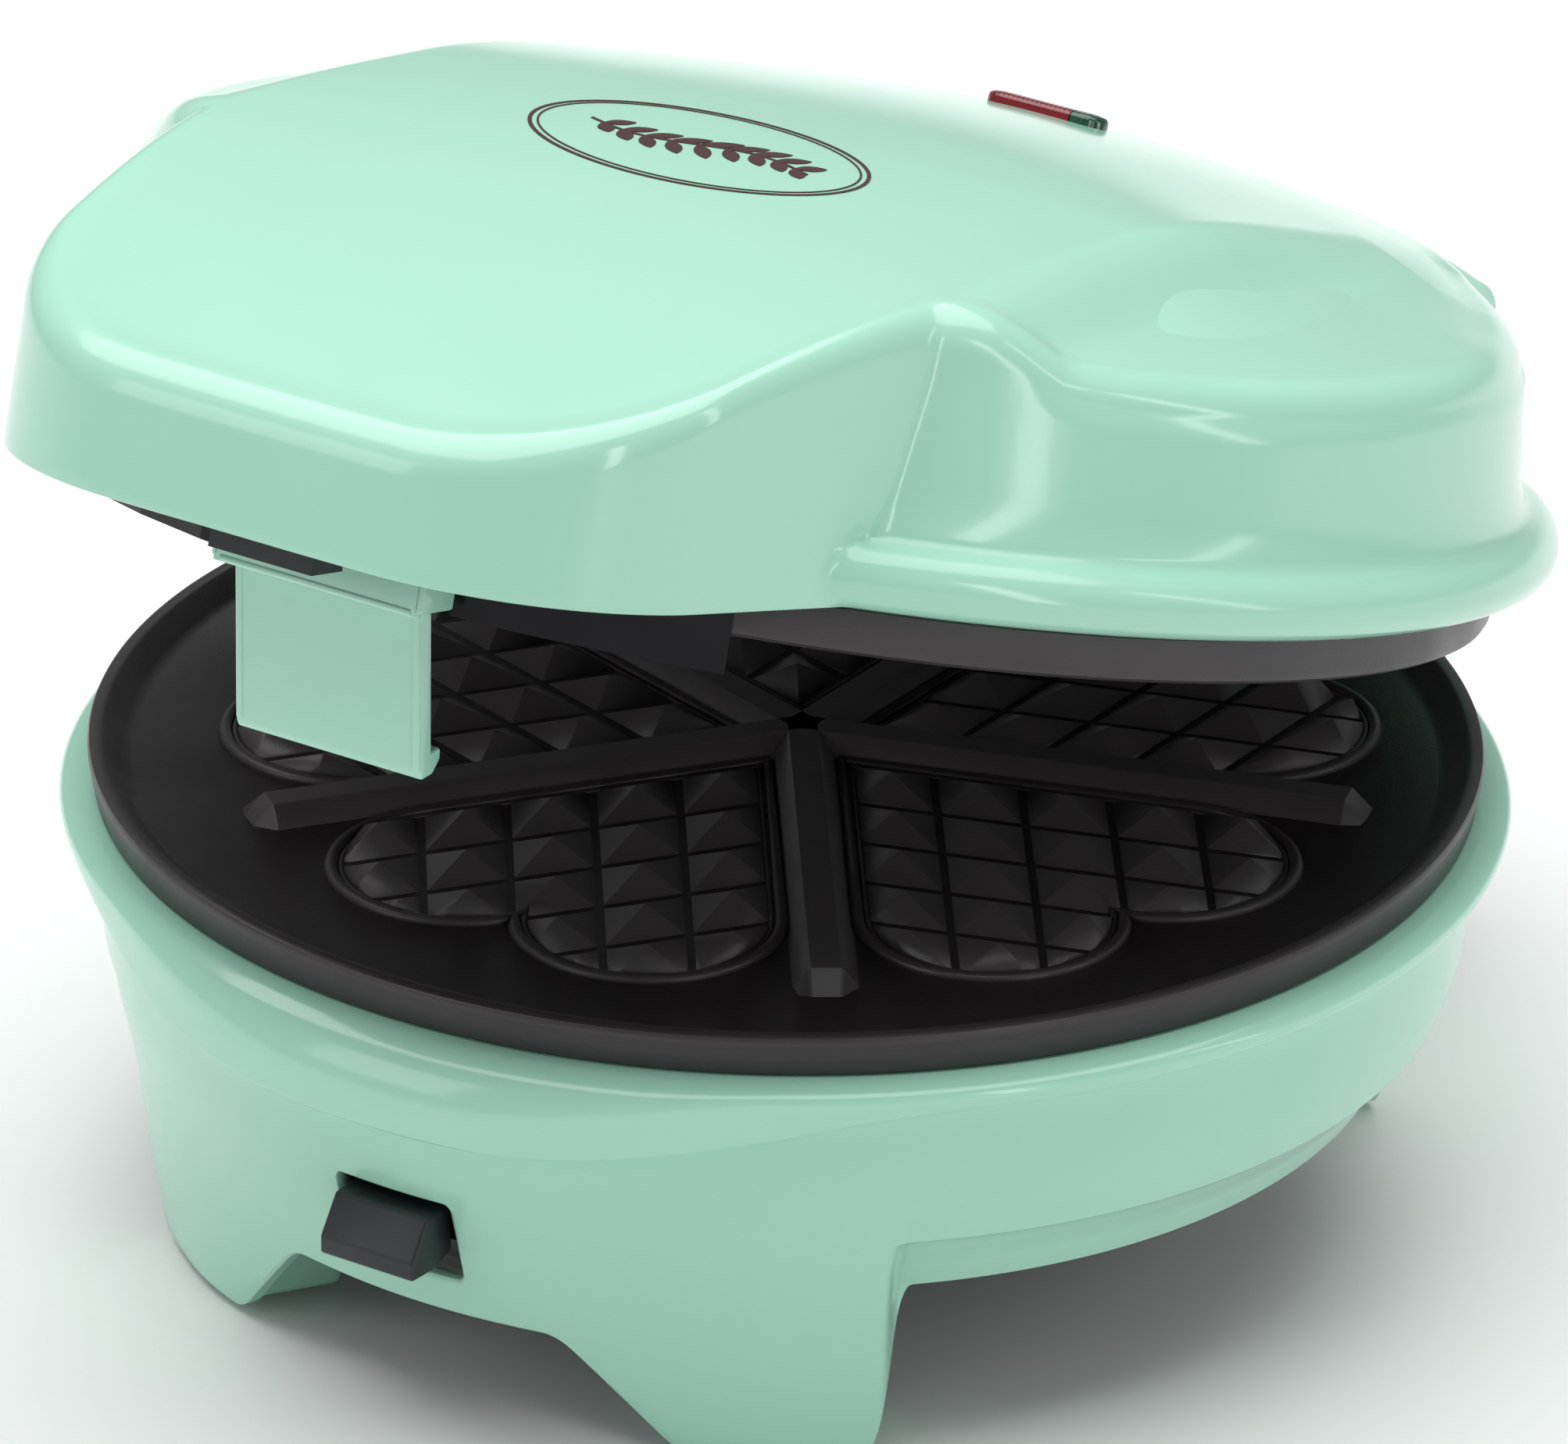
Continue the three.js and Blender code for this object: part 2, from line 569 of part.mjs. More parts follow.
function lidShell() {
  const columns = LID_ANGLES.map((angle) => [...lidColumn(angle, 0).reverse(), ...lidColumn(angle, WALL)]
    .map(([r, z]) => around(angle, r, z)));
  const rings = columns[0].map((_, row) => columns.map((column) => column[row]));
  let shell = skin(rings, [[0, 0, lidTop(0, 0)], [0, 0, lidTop(0, 0) - WALL]]);
  const wall = profile([[TAIL_Y, 16], [TAIL_Y + WALL, 16], [TAIL_Y + WALL, 42.4], [TAIL_Y, 42.9]],
    -31.8, 31.8);
  const web = profile([[101, 16], [114, 12.6], [HINGE.y, 10.9], [HINGE.y, 26.9], [112, 33], [101, 40]],
    -18.3, 18.3);
  shell = shell.add(wall).add(web).add(barX(HINGE.knuckle, -18.3, 18.3, HINGE.y, HINGE.z, 32));
  shell = shell.subtract(barX(HINGE.pin + GAP, -34, 34, HINGE.y, HINGE.z));
  return shell.subtract(lensSolid(-LENS.half - GAP, LENS.half + GAP, LENS.radius + GAP, 10, 10));
}

// Capsule-ended lens block across the machine, from x0 to x1.
function lensSolid(x0, x1, radius, below, above) {
  const points = [];
  const centre = LENS.half + GAP - LENS.radius;
  for (let turn = 90; turn <= 270; turn += 30) {
    points.push([-centre + radius * Math.cos(rad(turn)), radius * Math.sin(rad(turn))]);
  }
  for (let turn = -90; turn <= 90; turn += 30) {
    points.push([centre + radius * Math.cos(rad(turn)), radius * Math.sin(rad(turn))]);
  }
  const body = slab(points, -below, above).intersect(box([x0, x1], [-9, 9], [-below, above]));
  return body.rotate([-8.5, 0, 0]).translate([0, LENS.y, LENS.z]);
}

function lidInnerCover() {
  const outline = LID_ANGLES.map((angle) => {
    const free = Math.abs(angle) > 159 ? (TAIL_Y - 2) / -Math.cos(rad(angle)) : 400;
    return around(angle, Math.min(lidOutline(angle, WALL + 0.6, 95.8), free), 0).slice(0, 2);
  });
  let cover = slab(outline, 14.3, 16.3);
  const sector = [];
  for (let angle = -28; angle <= 28; angle += 7) sector.push(around(angle, 105.9, 0).slice(0, 2));
  for (let angle = 28; angle >= -28; angle -= 7) sector.push(around(angle, 103.4, 0).slice(0, 2));
  cover = cover.subtract(barZ(86.2, 10, 20, 0, 0, 64)).add(slab(sector, 4, 15));
  for (const [x, y] of lidScrews()) cover = cover.subtract(barZ(1.9, 10, 20, x, y, 12));
  return cover.subtract(box([-4.3, 4.3], [-127.3, -117.7], [10, 20]));
}

function lidScrews() {
  return [[-36, -112], [36, -112], [-24, -122], [24, -122]];
}

function latchBracket() {
  const { half, front, back, top, bottom } = BRACKET;
  let body = box([-half, half], [front, back], [bottom, top]);
  body = body.add(barX(1.3, -half + 1.6, half - 1.6, front + 1.1, bottom + 0.6, 12));
  body = body.subtract(box([-half + 1.5, half - 1.5], [front + 1, back + 1], [0, top - 2.2]));
  return body.subtract(barX(1.3, -20, 20, LATCH.y, LATCH.z, 16));
}

// The swing latch about its own pin, hanging straight down.
function latchPlate() {
  const { half, thick, length, hook, hookTop } = LATCH;
  const t = thick / 2;
  const side = [[-t, 0], [-t, -length + 1], [-t + 1, -length], [t + 0.6, -length],
    [t + hook, -hookTop - 1.6], [t + hook, -hookTop], [t, -hookTop], [t, 0]];
  const body = profile(side, -half, half).add(barX(2.2, -half, half, 0, 0, 20));
  return body.subtract(barX(1.3, -half - 1, half + 1, 0, 0, 16));
}

function releaseSlider() {
  const stem = box([-4, 4], [-126, -122], [12.5, 19]);
  const knob = box([-8, 8], [-127.5, -120.5], [9.5, 12.8]);
  return stem.add(knob).add(box([-6, 6], [-126, -119], [16.8, 19]));
}

// ---------------------------------------------------------------- assembly

const machine = new THREE.Group();
machine.position.set(0, CENTRE_Y, SEAT);
const lid = new THREE.Group();
const lidParts = new THREE.Group();
lid.position.set(0, HINGE.y, HINGE.z);
lid.rotation.x = -LID_AJAR;
lidParts.position.set(0, -HINGE.y, -HINGE.z);
lid.add(lidParts);
machine.add(lid);

const MINT = { color: 0xa6dfc4, roughness: 0.25, metalness: 0 };
const BLACK = { color: 0x26292b, roughness: 0.45, metalness: 0 };
const COATED = { color: 0x2d282a, roughness: 0.4, metalness: 0.5 };
const STEEL = { color: 0xb8babd, roughness: 0.35, metalness: 1 };
const ALUMINIUM = { color: 0xc9cbce, roughness: 0.45, metalness: 1 };
const RUBBER = { color: 0x2a2a2a, roughness: 0.9, metalness: 0 };
const RED = { color: 0x8c1218, roughness: 0.15, metalness: 0 };
const GREEN = { color: 0x1f5a3a, roughness: 0.15, metalness: 0 };
const GLASS = { color: 0xf0e0d0, roughness: 0.1, metalness: 0 };
const CERAMIC = { color: 0xe8e2d4, roughness: 0.7, metalness: 0 };

function place(parent, name, body, look) {
  const geometry = body.isBufferGeometry ? body : geometryOf(body);
  const mesh = new THREE.Mesh(geometry, new THREE.MeshStandardMaterial(look));
  mesh.name = name;
  parent.add(mesh);
  return mesh;
}

place(machine, 'base_shell', baseShell(), MINT);
place(machine, 'bottom_cover', bottomCover(), BLACK);
for (const [corner, angle] of Object.entries(FEET)) {
  place(machine, `foot_pad_${corner}`, padSolid(angle), RUBBER);
}
coverScrews().forEach(([x, y], k) => {
  place(machine, `cover_screw_${k + 1}`, screw(x, y, COVER.bottom - 2.2, 9), STEEL);
});
place(machine, 'lower_plate', lowerPlate(), COATED);
place(machine, 'lower_reflector', lowerReflector(), ALUMINIUM);
place(machine, 'lower_heating_element', heatingElement(-6.2, -16), STEEL);
place(machine, 'lower_element_clamp_right', clampPiece(1, -14.3, 1), ALUMINIUM);
place(machine, 'lower_element_clamp_left', clampPiece(-1, -14.3, 1), ALUMINIUM);
place(machine, 'thermostat', turned([[0, -24], [9, -24], [11, -22], [11, -16.2], [0, -16.2]], 24)
  .translate([30, 20, 0]), CERAMIC);
place(machine, 'thermal_fuse', barX(2.6, -38, -24, 20, -19.4, 16), STEEL);
place(machine, 'terminal_block', box([-15, 15], [74, 86], [-33.4, -22]), CERAMIC);
place(machine, 'cord_inlet_gland', glandPiece(), BLACK);
for (const [side, sign] of [['right', 1], ['left', -1]]) {
  const ends = [sign * 9, sign * 30.4].sort((p, q) => p - q);
  place(machine, `hinge_pin_${side}`, barX(HINGE.pin, ends[0], ends[1], HINGE.y, HINGE.z), STEEL);
}
const releaseAxle = barX(BUTTON.axle, -10.5, 10.5, BUTTON.pivotY, BUTTON.pivotZ, 16);
place(machine, 'lower_release_axle', releaseAxle, STEEL);
place(machine, 'lower_release_lever', releaseLever(), BLACK);
place(machine, 'lower_release_spring', springCoil(2.6, 0.5, -27.2, -16.8, 4, 0, -65), STEEL);

place(lidParts, 'lid_shell', lidShell(), MINT);
place(lidParts, 'lid_inner_cover', lidInnerCover(), BLACK);
place(lidParts, 'upper_plate', upperPlate(), COATED);
place(lidParts, 'upper_reflector', upperReflector(), ALUMINIUM);
place(lidParts, 'upper_heating_element', heatingElement(18.9, 16), STEEL);
place(lidParts, 'upper_element_clamp_right', clampPiece(1, 27.4, -1), ALUMINIUM);
place(lidParts, 'upper_element_clamp_left', clampPiece(-1, 27.4, -1), ALUMINIUM);
place(lidParts, 'lamp_lens_red', lensSolid(-20, LENS.split, LENS.radius, 6, 1.5), RED);
place(lidParts, 'lamp_lens_green', lensSolid(LENS.split + GAP, 20, LENS.radius, 6, 1.5), GREEN);
place(lidParts, 'neon_lamp_red', barX(2.2, -8, 3, LENS.y - 1, LENS.z - 9.5, 16), GLASS);
place(lidParts, 'neon_lamp_green', barX(2.2, 4.5, 11, LENS.y - 1, LENS.z - 9.5, 16), GLASS);
place(lidParts, 'latch_bracket', latchBracket(), MINT);
place(lidParts, 'latch_pin', barX(1, -16.2, 16.2, LATCH.y, LATCH.z, 16), STEEL);
lidScrews().forEach(([x, y], k) => {
  place(lidParts, `lid_screw_${k + 1}`, screw(x, y, 12, 9), STEEL);
});
place(lidParts, 'upper_release_slider', releaseSlider(), BLACK);
const sliderSpring = springCoil(2, 0.4, 0, 9, 4, 0, 0).rotateX(-Math.PI / 2).translate(0, -118.5, 19.2);
place(lidParts, 'upper_release_spring', sliderSpring, STEEL);
const latch = place(lidParts, 'latch_plate', latchPlate(), MINT);
latch.position.set(0, LATCH.y, LATCH.z);
latch.rotation.x = LID_AJAR;

export default machine;
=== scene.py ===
"""Heart-waffle maker: the visual model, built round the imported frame.

Lengths in the tables are millimetres, in the seat frame, unless a comment says otherwise.
"""
import json
import math

import bmesh
import bpy
import numpy as np
from mathutils import Matrix, Vector


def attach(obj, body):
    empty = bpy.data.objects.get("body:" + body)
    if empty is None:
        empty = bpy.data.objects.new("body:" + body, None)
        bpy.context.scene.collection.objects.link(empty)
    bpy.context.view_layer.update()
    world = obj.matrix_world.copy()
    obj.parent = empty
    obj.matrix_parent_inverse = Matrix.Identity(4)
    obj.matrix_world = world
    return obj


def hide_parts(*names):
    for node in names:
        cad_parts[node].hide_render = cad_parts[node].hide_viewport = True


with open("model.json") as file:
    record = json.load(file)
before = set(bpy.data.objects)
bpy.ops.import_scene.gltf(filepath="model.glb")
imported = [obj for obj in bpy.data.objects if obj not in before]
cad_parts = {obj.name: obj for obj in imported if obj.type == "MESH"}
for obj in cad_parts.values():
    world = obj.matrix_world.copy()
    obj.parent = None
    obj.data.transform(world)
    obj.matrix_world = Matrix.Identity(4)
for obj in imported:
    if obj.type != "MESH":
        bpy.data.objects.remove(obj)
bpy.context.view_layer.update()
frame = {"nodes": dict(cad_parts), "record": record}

MM = 0.001
JOINTS = {joint["name"]: joint for joint in frame["record"]["behaviour"]["joints"]}
HINGE = np.array(JOINTS["lid_hinge"]["pos_m"]) / MM
AJAR = math.radians(-JOINTS["lid_hinge"]["range_deg"][0])

# Seat frame: the plate centre at X = Y = 0, Z up from the lower plate's seat.
SEAT_Z = 61.0
HINGE_Y, HINGE_Z = 122.1, 18.9
CENTRE_Y = HINGE[1] - HINGE_Y
WALL = 2.6

# ---------------------------------------------------------------- places


def base_point(points):
    """Seat-frame points (mm) to row-frame metres."""
    return (np.asarray(points, float) + (0, CENTRE_Y, SEAT_Z)) * MM


def lid_point(points):
    """Closed-lid seat-frame points (mm) to row-frame metres, with the lid ajar as at rest."""
    p = np.asarray(points, float) - (0, HINGE_Y, HINGE_Z)
    c, s = math.cos(AJAR), math.sin(AJAR)
    turned = np.stack([p[..., 0], p[..., 1] * c + p[..., 2] * s, p[..., 2] * c - p[..., 1] * s], -1)
    return base_point(turned + (0, HINGE_Y, HINGE_Z))


def smooth(x, low, high):
    t = np.clip((np.asarray(x, float) - low) / (high - low), 0, 1)
    return t * t * (3 - 2 * t)


def read(pairs, x):
    return np.interp(x, [p[0] for p in pairs], [p[1] for p in pairs])


# ---------------------------------------------------------------- mesh tools


def link(name, mesh):
    piece = bpy.data.objects.new(name, mesh)
    bpy.context.scene.collection.objects.link(piece)
    return piece


def piece_from(name, points, faces, smooth_angle=40):
    mesh = bpy.data.meshes.new(name)
    mesh.from_pydata([tuple(p) for p in points], [], [tuple(f) for f in faces])
    mesh.update()
    piece = link(name, mesh)
    tidy(piece, smooth_angle)
    return piece


def tidy(piece, smooth_angle=40):
    """Faces out, smooth shading, and edges sharper than the angle kept crisp."""
    bm = bmesh.new()
    bm.from_mesh(piece.data)
    bmesh.ops.remove_doubles(bm, verts=bm.verts, dist=1e-6)
    bmesh.ops.recalc_face_normals(bm, faces=bm.faces)
    limit = math.radians(smooth_angle)
    for edge in bm.edges:
        if len(edge.link_faces) == 2:
            edge.smooth = edge.calc_face_angle(0) < limit
    for face in bm.faces:
        face.smooth = True
    bm.to_mesh(piece.data)
    bm.free()


def skin_faces(rings, count, closed, offset=0):
    """Quads through `rings` rings of `count` points; closed joins the last ring to the first."""
    faces = []
    for i in range(rings if closed else rings - 1):
        n = (i + 1) % rings
        for j in range(count):
            k = (j + 1) % count
            faces.append((offset + i * count + j, offset + i * count + k,
                          offset + n * count + k, offset + n * count + j))
    return faces


def around(angle, radius, z):
    """Angle round the machine in degrees: 0 at the front, 90 on the right."""
    a = np.radians(angle)
    return np.stack([radius * np.sin(a), -radius * np.cos(a), np.broadcast_to(z, np.shape(radius))], -1)


def join(pieces, name):
    """Several meshes as one object; the first keeps its place in the list of pieces."""
    bm = bmesh.new()
    for piece in pieces:
        bm.from_mesh(piece.data)
        bpy.data.objects.remove(piece)
    mesh = bpy.data.meshes.new(name)
    bm.to_mesh(mesh)
    bm.free()
    return link(name, mesh)


def boolean(piece, cutter, operation="DIFFERENCE"):
    modifier = piece.modifiers.new("cut", "BOOLEAN")
    modifier.operation = operation
    modifier.solver = "EXACT"
    modifier.object = cutter
    bake(piece)
    bpy.data.objects.remove(cutter)


def bake(piece):
    """Apply every modifier to the mesh."""
    graph = bpy.context.evaluated_depsgraph_get()
    mesh = bpy.data.meshes.new_from_object(piece.evaluated_get(graph))
    piece.modifiers.clear()
    piece.data = mesh


def prism(name, outline, x0, x1, to_world, bevel=0.0, segments=3, axis="x"):
    """A side outline [y, z] (axis x) or a plan outline [x, y] (axis z), given thickness and round edges."""
    bm = bmesh.new()
    low, high = [], []
    for a, b in outline:
        low.append(bm.verts.new((x0, a, b) if axis == "x" else (a, b, x0)))
        high.append(bm.verts.new((x1, a, b) if axis == "x" else (a, b, x1)))
    bm.faces.new(low)
    bm.faces.new(list(reversed(high)))
    for i in range(len(outline)):
        j = (i + 1) % len(outline)
        bm.faces.new((low[j], low[i], high[i], high[j]))
    bmesh.ops.recalc_face_normals(bm, faces=bm.faces)
    if bevel:
        edges = [e for e in bm.edges if e.calc_face_angle(0) > math.radians(20)]
        bmesh.ops.bevel(bm, geom=edges, offset=bevel, segments=segments, profile=0.5, affect="EDGES",
                        clamp_overlap=True)
    bmesh.ops.triangulate(bm, faces=[f for f in bm.faces if len(f.verts) > 4])
    for vert, place in zip(bm.verts, to_world([tuple(v.co) for v in bm.verts])):
        vert.co = place
    mesh = bpy.data.meshes.new(name)
    bm.to_mesh(mesh)
    bm.free()
    piece = link(name, mesh)
    tidy(piece, 25)
    return piece


def disc_x(name, radius, x0, x1, y, z, to_world, bevel=0.6, segments=64):
    turns = [2 * math.pi * k / segments for k in range(segments)]
    outline = [(y + radius * math.cos(t), z + radius * math.sin(t)) for t in turns]
    return prism(name, outline, x0, x1, to_world, bevel)


def turned(name, outline, to_world, segments=256, smooth_angle=35):
    """A closed [radius, z] outline turned about the vertical axis. Radius 0 points make poles."""
    angles = np.linspace(-180, 180, segments, endpoint=False)
    points = np.concatenate([around(angles, np.full(segments, max(r, 1e-4)), z) for r, z in outline])
    faces = skin_faces(len(outline), segments, closed=outline[0][0] > 0)
    return piece_from(name, to_world(points), faces, smooth_angle)

# ---------------------------------------------------------------- base housing

FOOT = dict(angle=33.6, half=9.0, slope=10.6, side=1.6, bottom=-60.0)
FOOT_EDGES = [FOOT["angle"] - FOOT["half"] - FOOT["slope"], FOOT["angle"] - FOOT["half"],
              FOOT["angle"] + FOOT["half"], FOOT["angle"] + FOOT["half"] + FOOT["side"]]
RING_BOTTOM, FRONT_BOTTOM = -36.5, -44.0
OPENING_R = 88.5


def averaged(function, angle, spread):
    """A function of the angle with its corners rounded over `spread` degrees each way."""
    offsets = np.linspace(-spread, spread, 9)
    return sum(function(angle + offset) for offset in offsets) / len(offsets)


def bottom_raw(angle):
    """Lower edge of the base wall, before its corners are rounded."""
    a = np.abs((angle + 180) % 360 - 180)
    start, foot, end, side = FOOT_EDGES
    front = read([(start, FRONT_BOTTOM), (foot, FOOT["bottom"]), (end, FOOT["bottom"]),
                  (side, RING_BOTTOM)], a)
    rear = read([(180 - side, RING_BOTTOM), (180 - end, FOOT["bottom"]), (180 - foot, FOOT["bottom"]),
                 (180 - start, RING_BOTTOM)], a)
    return np.where(a < 90, front, rear)


def share_raw(angle):
    """How much of the wall belongs to a foot, from 0 to 1, before its corners are rounded."""
    a = np.abs((angle + 180) % 360 - 180)
    start, foot, end, side = FOOT_EDGES
    front = read([(end, 1), (side, 0)], a)
    rear = read([(180 - side, 0), (180 - end, 1), (180 - foot, 1), (180 - start, 0)], a)
    return np.where(a < 90, front, rear)


def wall_radius(angle, z, share):
    """Outer radius of the base wall: a foot where `share` is 1, the ring above its step where it is 0."""
    ring = read([(RING_BOTTOM, 82.5), (-32, 85), (-28.4, 87.8), (-27, 88.9), (-26.3, 89.7), (-25.9, 90.7),
                 (-25, 91.0), (-21, 92.4), (-15, 92.9), (-8, 93.2)], z)
    foot = read([(-60, 85.8), (-48, 87.8), (-33, 89.9), (-24, 92), (-15, 92.9), (-8, 93.2)], z)
    front = 96 + 0.283 * (z + 13)
    bulge = 1 - smooth(np.abs(angle), 8, 34)
    low = foot + (front - foot) * bulge
    return ring + (low - ring) * share


def base_housing():
    """The whole base shell: rolled front lip, drawn-in wall, four feet, hinge tower and button slot."""
    angles = np.linspace(-180, 180, 1080, endpoint=False)
    flat = 0 * angles
    apron = 1 - smooth(np.abs(angles), 4, 34)
    lip = 1 - smooth(np.abs(angles), 8, 50)
    edge_r, edge_z = 98.2 + 3.2 * apron, -2 - 7.5 * apron
    low_r, low_z = 96 + 4.5 * lip, -4.2 - 8 * lip
    in_r, in_z = 94 + 2 * lip, -5.2 - 7 * lip
    share = averaged(share_raw, angles, 0.5)
    bottom = averaged(bottom_raw, angles, 1.3)
    seat_edge = [(OPENING_R, -WALL), (OPENING_R, -0.5), (OPENING_R + 0.5, 0), (91, 0), (93.4, 0)]
    rows = [(radius + flat, height + flat) for radius, height in seat_edge]
    for turn in np.linspace(0, 90, 13):
        s, c = math.sin(math.radians(turn)), math.cos(math.radians(turn))
        rows.append((94.6 + (edge_r - 94.6) * s, edge_z * (1 - c)))
    for turn in np.linspace(15, 90, 6):
        s, c = math.sin(math.radians(turn)), math.cos(math.radians(turn))
        rows.append((low_r + (edge_r - low_r) * c, edge_z + (low_z - edge_z) * s))
    for part in (0.35, 0.7):
        rows.append((low_r + (in_r - low_r) * part, low_z + (in_z - low_z) * part * part))
    start = in_z - 1.6
    wall0 = wall_radius(angles, start, share)
    rows.append((in_r * 0.35 + wall0 * 0.65, in_z * 0.45 + start * 0.55))
    levels = [0.0, 0.1, 0.25, 0.4, 0.55, 0.7, 0.8, 0.9]
    stops = [start + (-25 - start) * part for part in levels]
    stops += [height + flat for height in (-25.0, -25.9, -26.4, -27, -28.4, -30, -32)]
    stops += [-32 + (bottom + 32) * part for part in (0.15, 0.3, 0.45, 0.6, 0.75, 0.9, 0.97)]
    for z in stops:
        rows.append((wall_radius(angles, z, share), z))
    end = wall_radius(angles, bottom, share)
    rows += [(end - 0.35, bottom), (end - WALL + 0.35, bottom)]
    for part in (0.9, 0.5, 0.0):
        z = -32 + (bottom + 32) * part
        rows.append((wall_radius(angles, z, share) - WALL, z))
    for z in (-27.0, -24.0, -15.0):
        rows.append((wall_radius(angles, z + flat, share) - WALL - 0.4, z + flat))
    rows += [(90.4 + flat, height + flat) for height in (-6.5, -WALL)]
    points = np.concatenate([around(angles, r, z) for r, z in rows])
    shell = piece_from("base_ring", base_point(points), skin_faces(len(rows), len(angles), True), 32)

    slot_side = [(-106, -37.8), (-80, -37.8), (-80, -25.2), (-106, -25.2)]
    slot_box = prism("slot_box", slot_side, -9.2, 9.2, base_point,
                     1.2, 4)
    boolean(shell, slot_box)
    parts = [shell, tower(), *ears(), *foot_blocks()]
    housing = join(parts, "base_housing")
    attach(housing, "base")
    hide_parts("base_shell")
    housing.data.materials.append(MINT)
    return housing


TOWER = dict(half=31.0, back=130.0, corner=10.0, top=8.0, ear=19.0)


def tower():
    """The hinge tower behind the base, with rounded rear corners and a soft top edge."""
    half, back, corner = TOWER["half"], TOWER["back"], TOWER["corner"]
    plan = [(-half, 84), (half, 84)]
    plan += [(half - corner + corner * math.cos(t), back - corner + corner * math.sin(t))
             for t in np.radians(np.linspace(0, 90, 12))]
    plan += [(-half + corner - corner * math.cos(t), back - corner + corner * math.sin(t))
             for t in np.radians(np.linspace(90, 0, 12))]
    count = len(plan)
    middle = np.array([(0.0, 108.0)] * count)
    plan = np.array(plan)

    def level(z, inset=0.0):
        step = middle - plan
        step /= np.linalg.norm(step, axis=1)[:, None]
        ring = plan + step * inset
        height = np.full(count, z)
        if z > -2:
            height = -2 + (z + 2) * smooth(ring[:, 1], 98, 110)
        return np.column_stack([ring, height])

    rings = [level(-36, WALL), level(RING_BOTTOM, WALL), level(RING_BOTTOM, 0.4),
             level(RING_BOTTOM + 0.4, 0)]
    rings += [level(z) for z in (-30, -15, -5, 0, 4)]
    rings += [level(4 + 4 * math.sin(t), 4 * (1 - math.cos(t))) for t in np.radians((20, 40, 60, 78, 90))]
    rings += [level(TOWER["top"], inset) for inset in (8, 14)]
    points = np.concatenate(rings)
    faces = skin_faces(len(rings), count, False)
    last = (len(rings) - 1) * count
    points = np.vstack([points, [[0, 108, TOWER["top"]]]])
    faces += [(last + k, last + (k + 1) % count, len(points) - 1) for k in range(count)]
    return piece_from("tower", base_point(points), faces, 35)


def ears():
    """The two hinge ears on the tower, rounded over the pins."""
    out = []
    for sign in (-1, 1):
        x0, x1 = sorted((sign * TOWER["ear"], sign * TOWER["half"]))
        turns = np.radians(np.linspace(0, 180, 25))
        side = [(HINGE_Y + 8 * math.cos(t), HINGE_Z + 8 * math.sin(t)) for t in turns]
        side += [(116, 5), (129, 5)]
        out.append(prism("ear", side, x0, x1, base_point, 1.0, 4))
    return out


def foot_blocks():
    """The solid inner part of each foot, over its rubber pad."""
    out = []
    for angle in (FOOT["angle"], -FOOT["angle"], 180 - FOOT["angle"], FOOT["angle"] - 180):
        plan = [(-12, -84.6), (12, -84.6), (12, -68.5), (-12, -68.5)]
        a = math.radians(angle)

        def to_world(points, a=a):
            p = np.asarray(points, float)
            x = p[:, 0] * math.cos(a) - p[:, 1] * math.sin(a)
            y = p[:, 0] * math.sin(a) + p[:, 1] * math.cos(a)
            return base_point(np.column_stack([x, y, p[:, 2]]))

        out.append(prism("foot_block", plan, FOOT["bottom"], -37, to_world, 1.5, 4, axis="z"))
    return out


# ---------------------------------------------------------------- lid housing

LID = dict(rim=13.4, foot=96.0, top=93.0, shoulder=45.2, spine_foot=49.8, round=6.0)
NOSE = dict(front=134.9, bow=1.5, side=61.2, side_y=-68.5, lean=math.radians(12), corner=33.7)
BLOCK = dict(half=33.0, back=126.0, lift=16.6)
KNUCKLE = dict(radius=8, half=18.3)
SPINE = dict(radius=323.0, y=2.4, z=-262.3, crown=2.5, rear_crown=7.0)
BLEND = dict(inside=-5.0, outside=9.0, edge=3.0, least=12)


def soft_max(a, b, width):
    """The larger of two, with a fillet about `width` wide where they meet."""
    h = np.clip(width - np.abs(a - b), 0, None)
    return np.maximum(a, b) + h * h / (4 * width)


def lid_outline(angle, inset, drum, fillet=1.2):
    a = np.abs(angle)
    s, c = np.sin(np.radians(a)), np.cos(np.radians(a))
    n = (math.cos(NOSE["lean"]), math.sin(NOSE["lean"]))
    reach = NOSE["side"] * n[0] - NOSE["side_y"] * n[1]
    side = (reach - inset) / np.where(a < 90, s * n[0] + c * n[1], 1)
    front = (NOSE["front"] - inset) / np.maximum(c, 0.05)
    corner = NOSE["corner"]
    cy = NOSE["front"] - corner
    cx = (reach - corner - cy * n[1]) / n[0]
    low = math.atan2(cx, NOSE["front"] - inset)
    high = math.atan2(cx + (corner - inset) * n[0], cy + (corner - inset) * n[1])
    along = cx * s + cy * c
    arc = along + np.sqrt(np.clip(along ** 2 - cx ** 2 - cy ** 2 + (corner - inset) ** 2, 0, None))
    in_arc = (np.radians(a) > low) & (np.radians(a) < high)
    nose = np.where(in_arc, arc, np.minimum(side, front))
    nose = nose - NOSE["bow"] * np.clip((nose * s / 50) ** 2, 0, 1)
    nose = np.where(a < 90, nose, 0)
    rear = np.minimum((BLOCK["back"] - inset) / np.maximum(-c, 0.05),
                      (BLOCK["half"] - min(inset, 1.6)) / np.maximum(s, 1e-4))
    rear = np.where(a > 90, rear, 0)
    return soft_max(np.maximum(nose, rear), drum - inset, fillet)


def spine_half(y):
    return read([(-68.5, 61.2), (0, 59), (50, 55.5), (75, 47.5), (95, 38), (103, 33.2), (130, 33)], y)


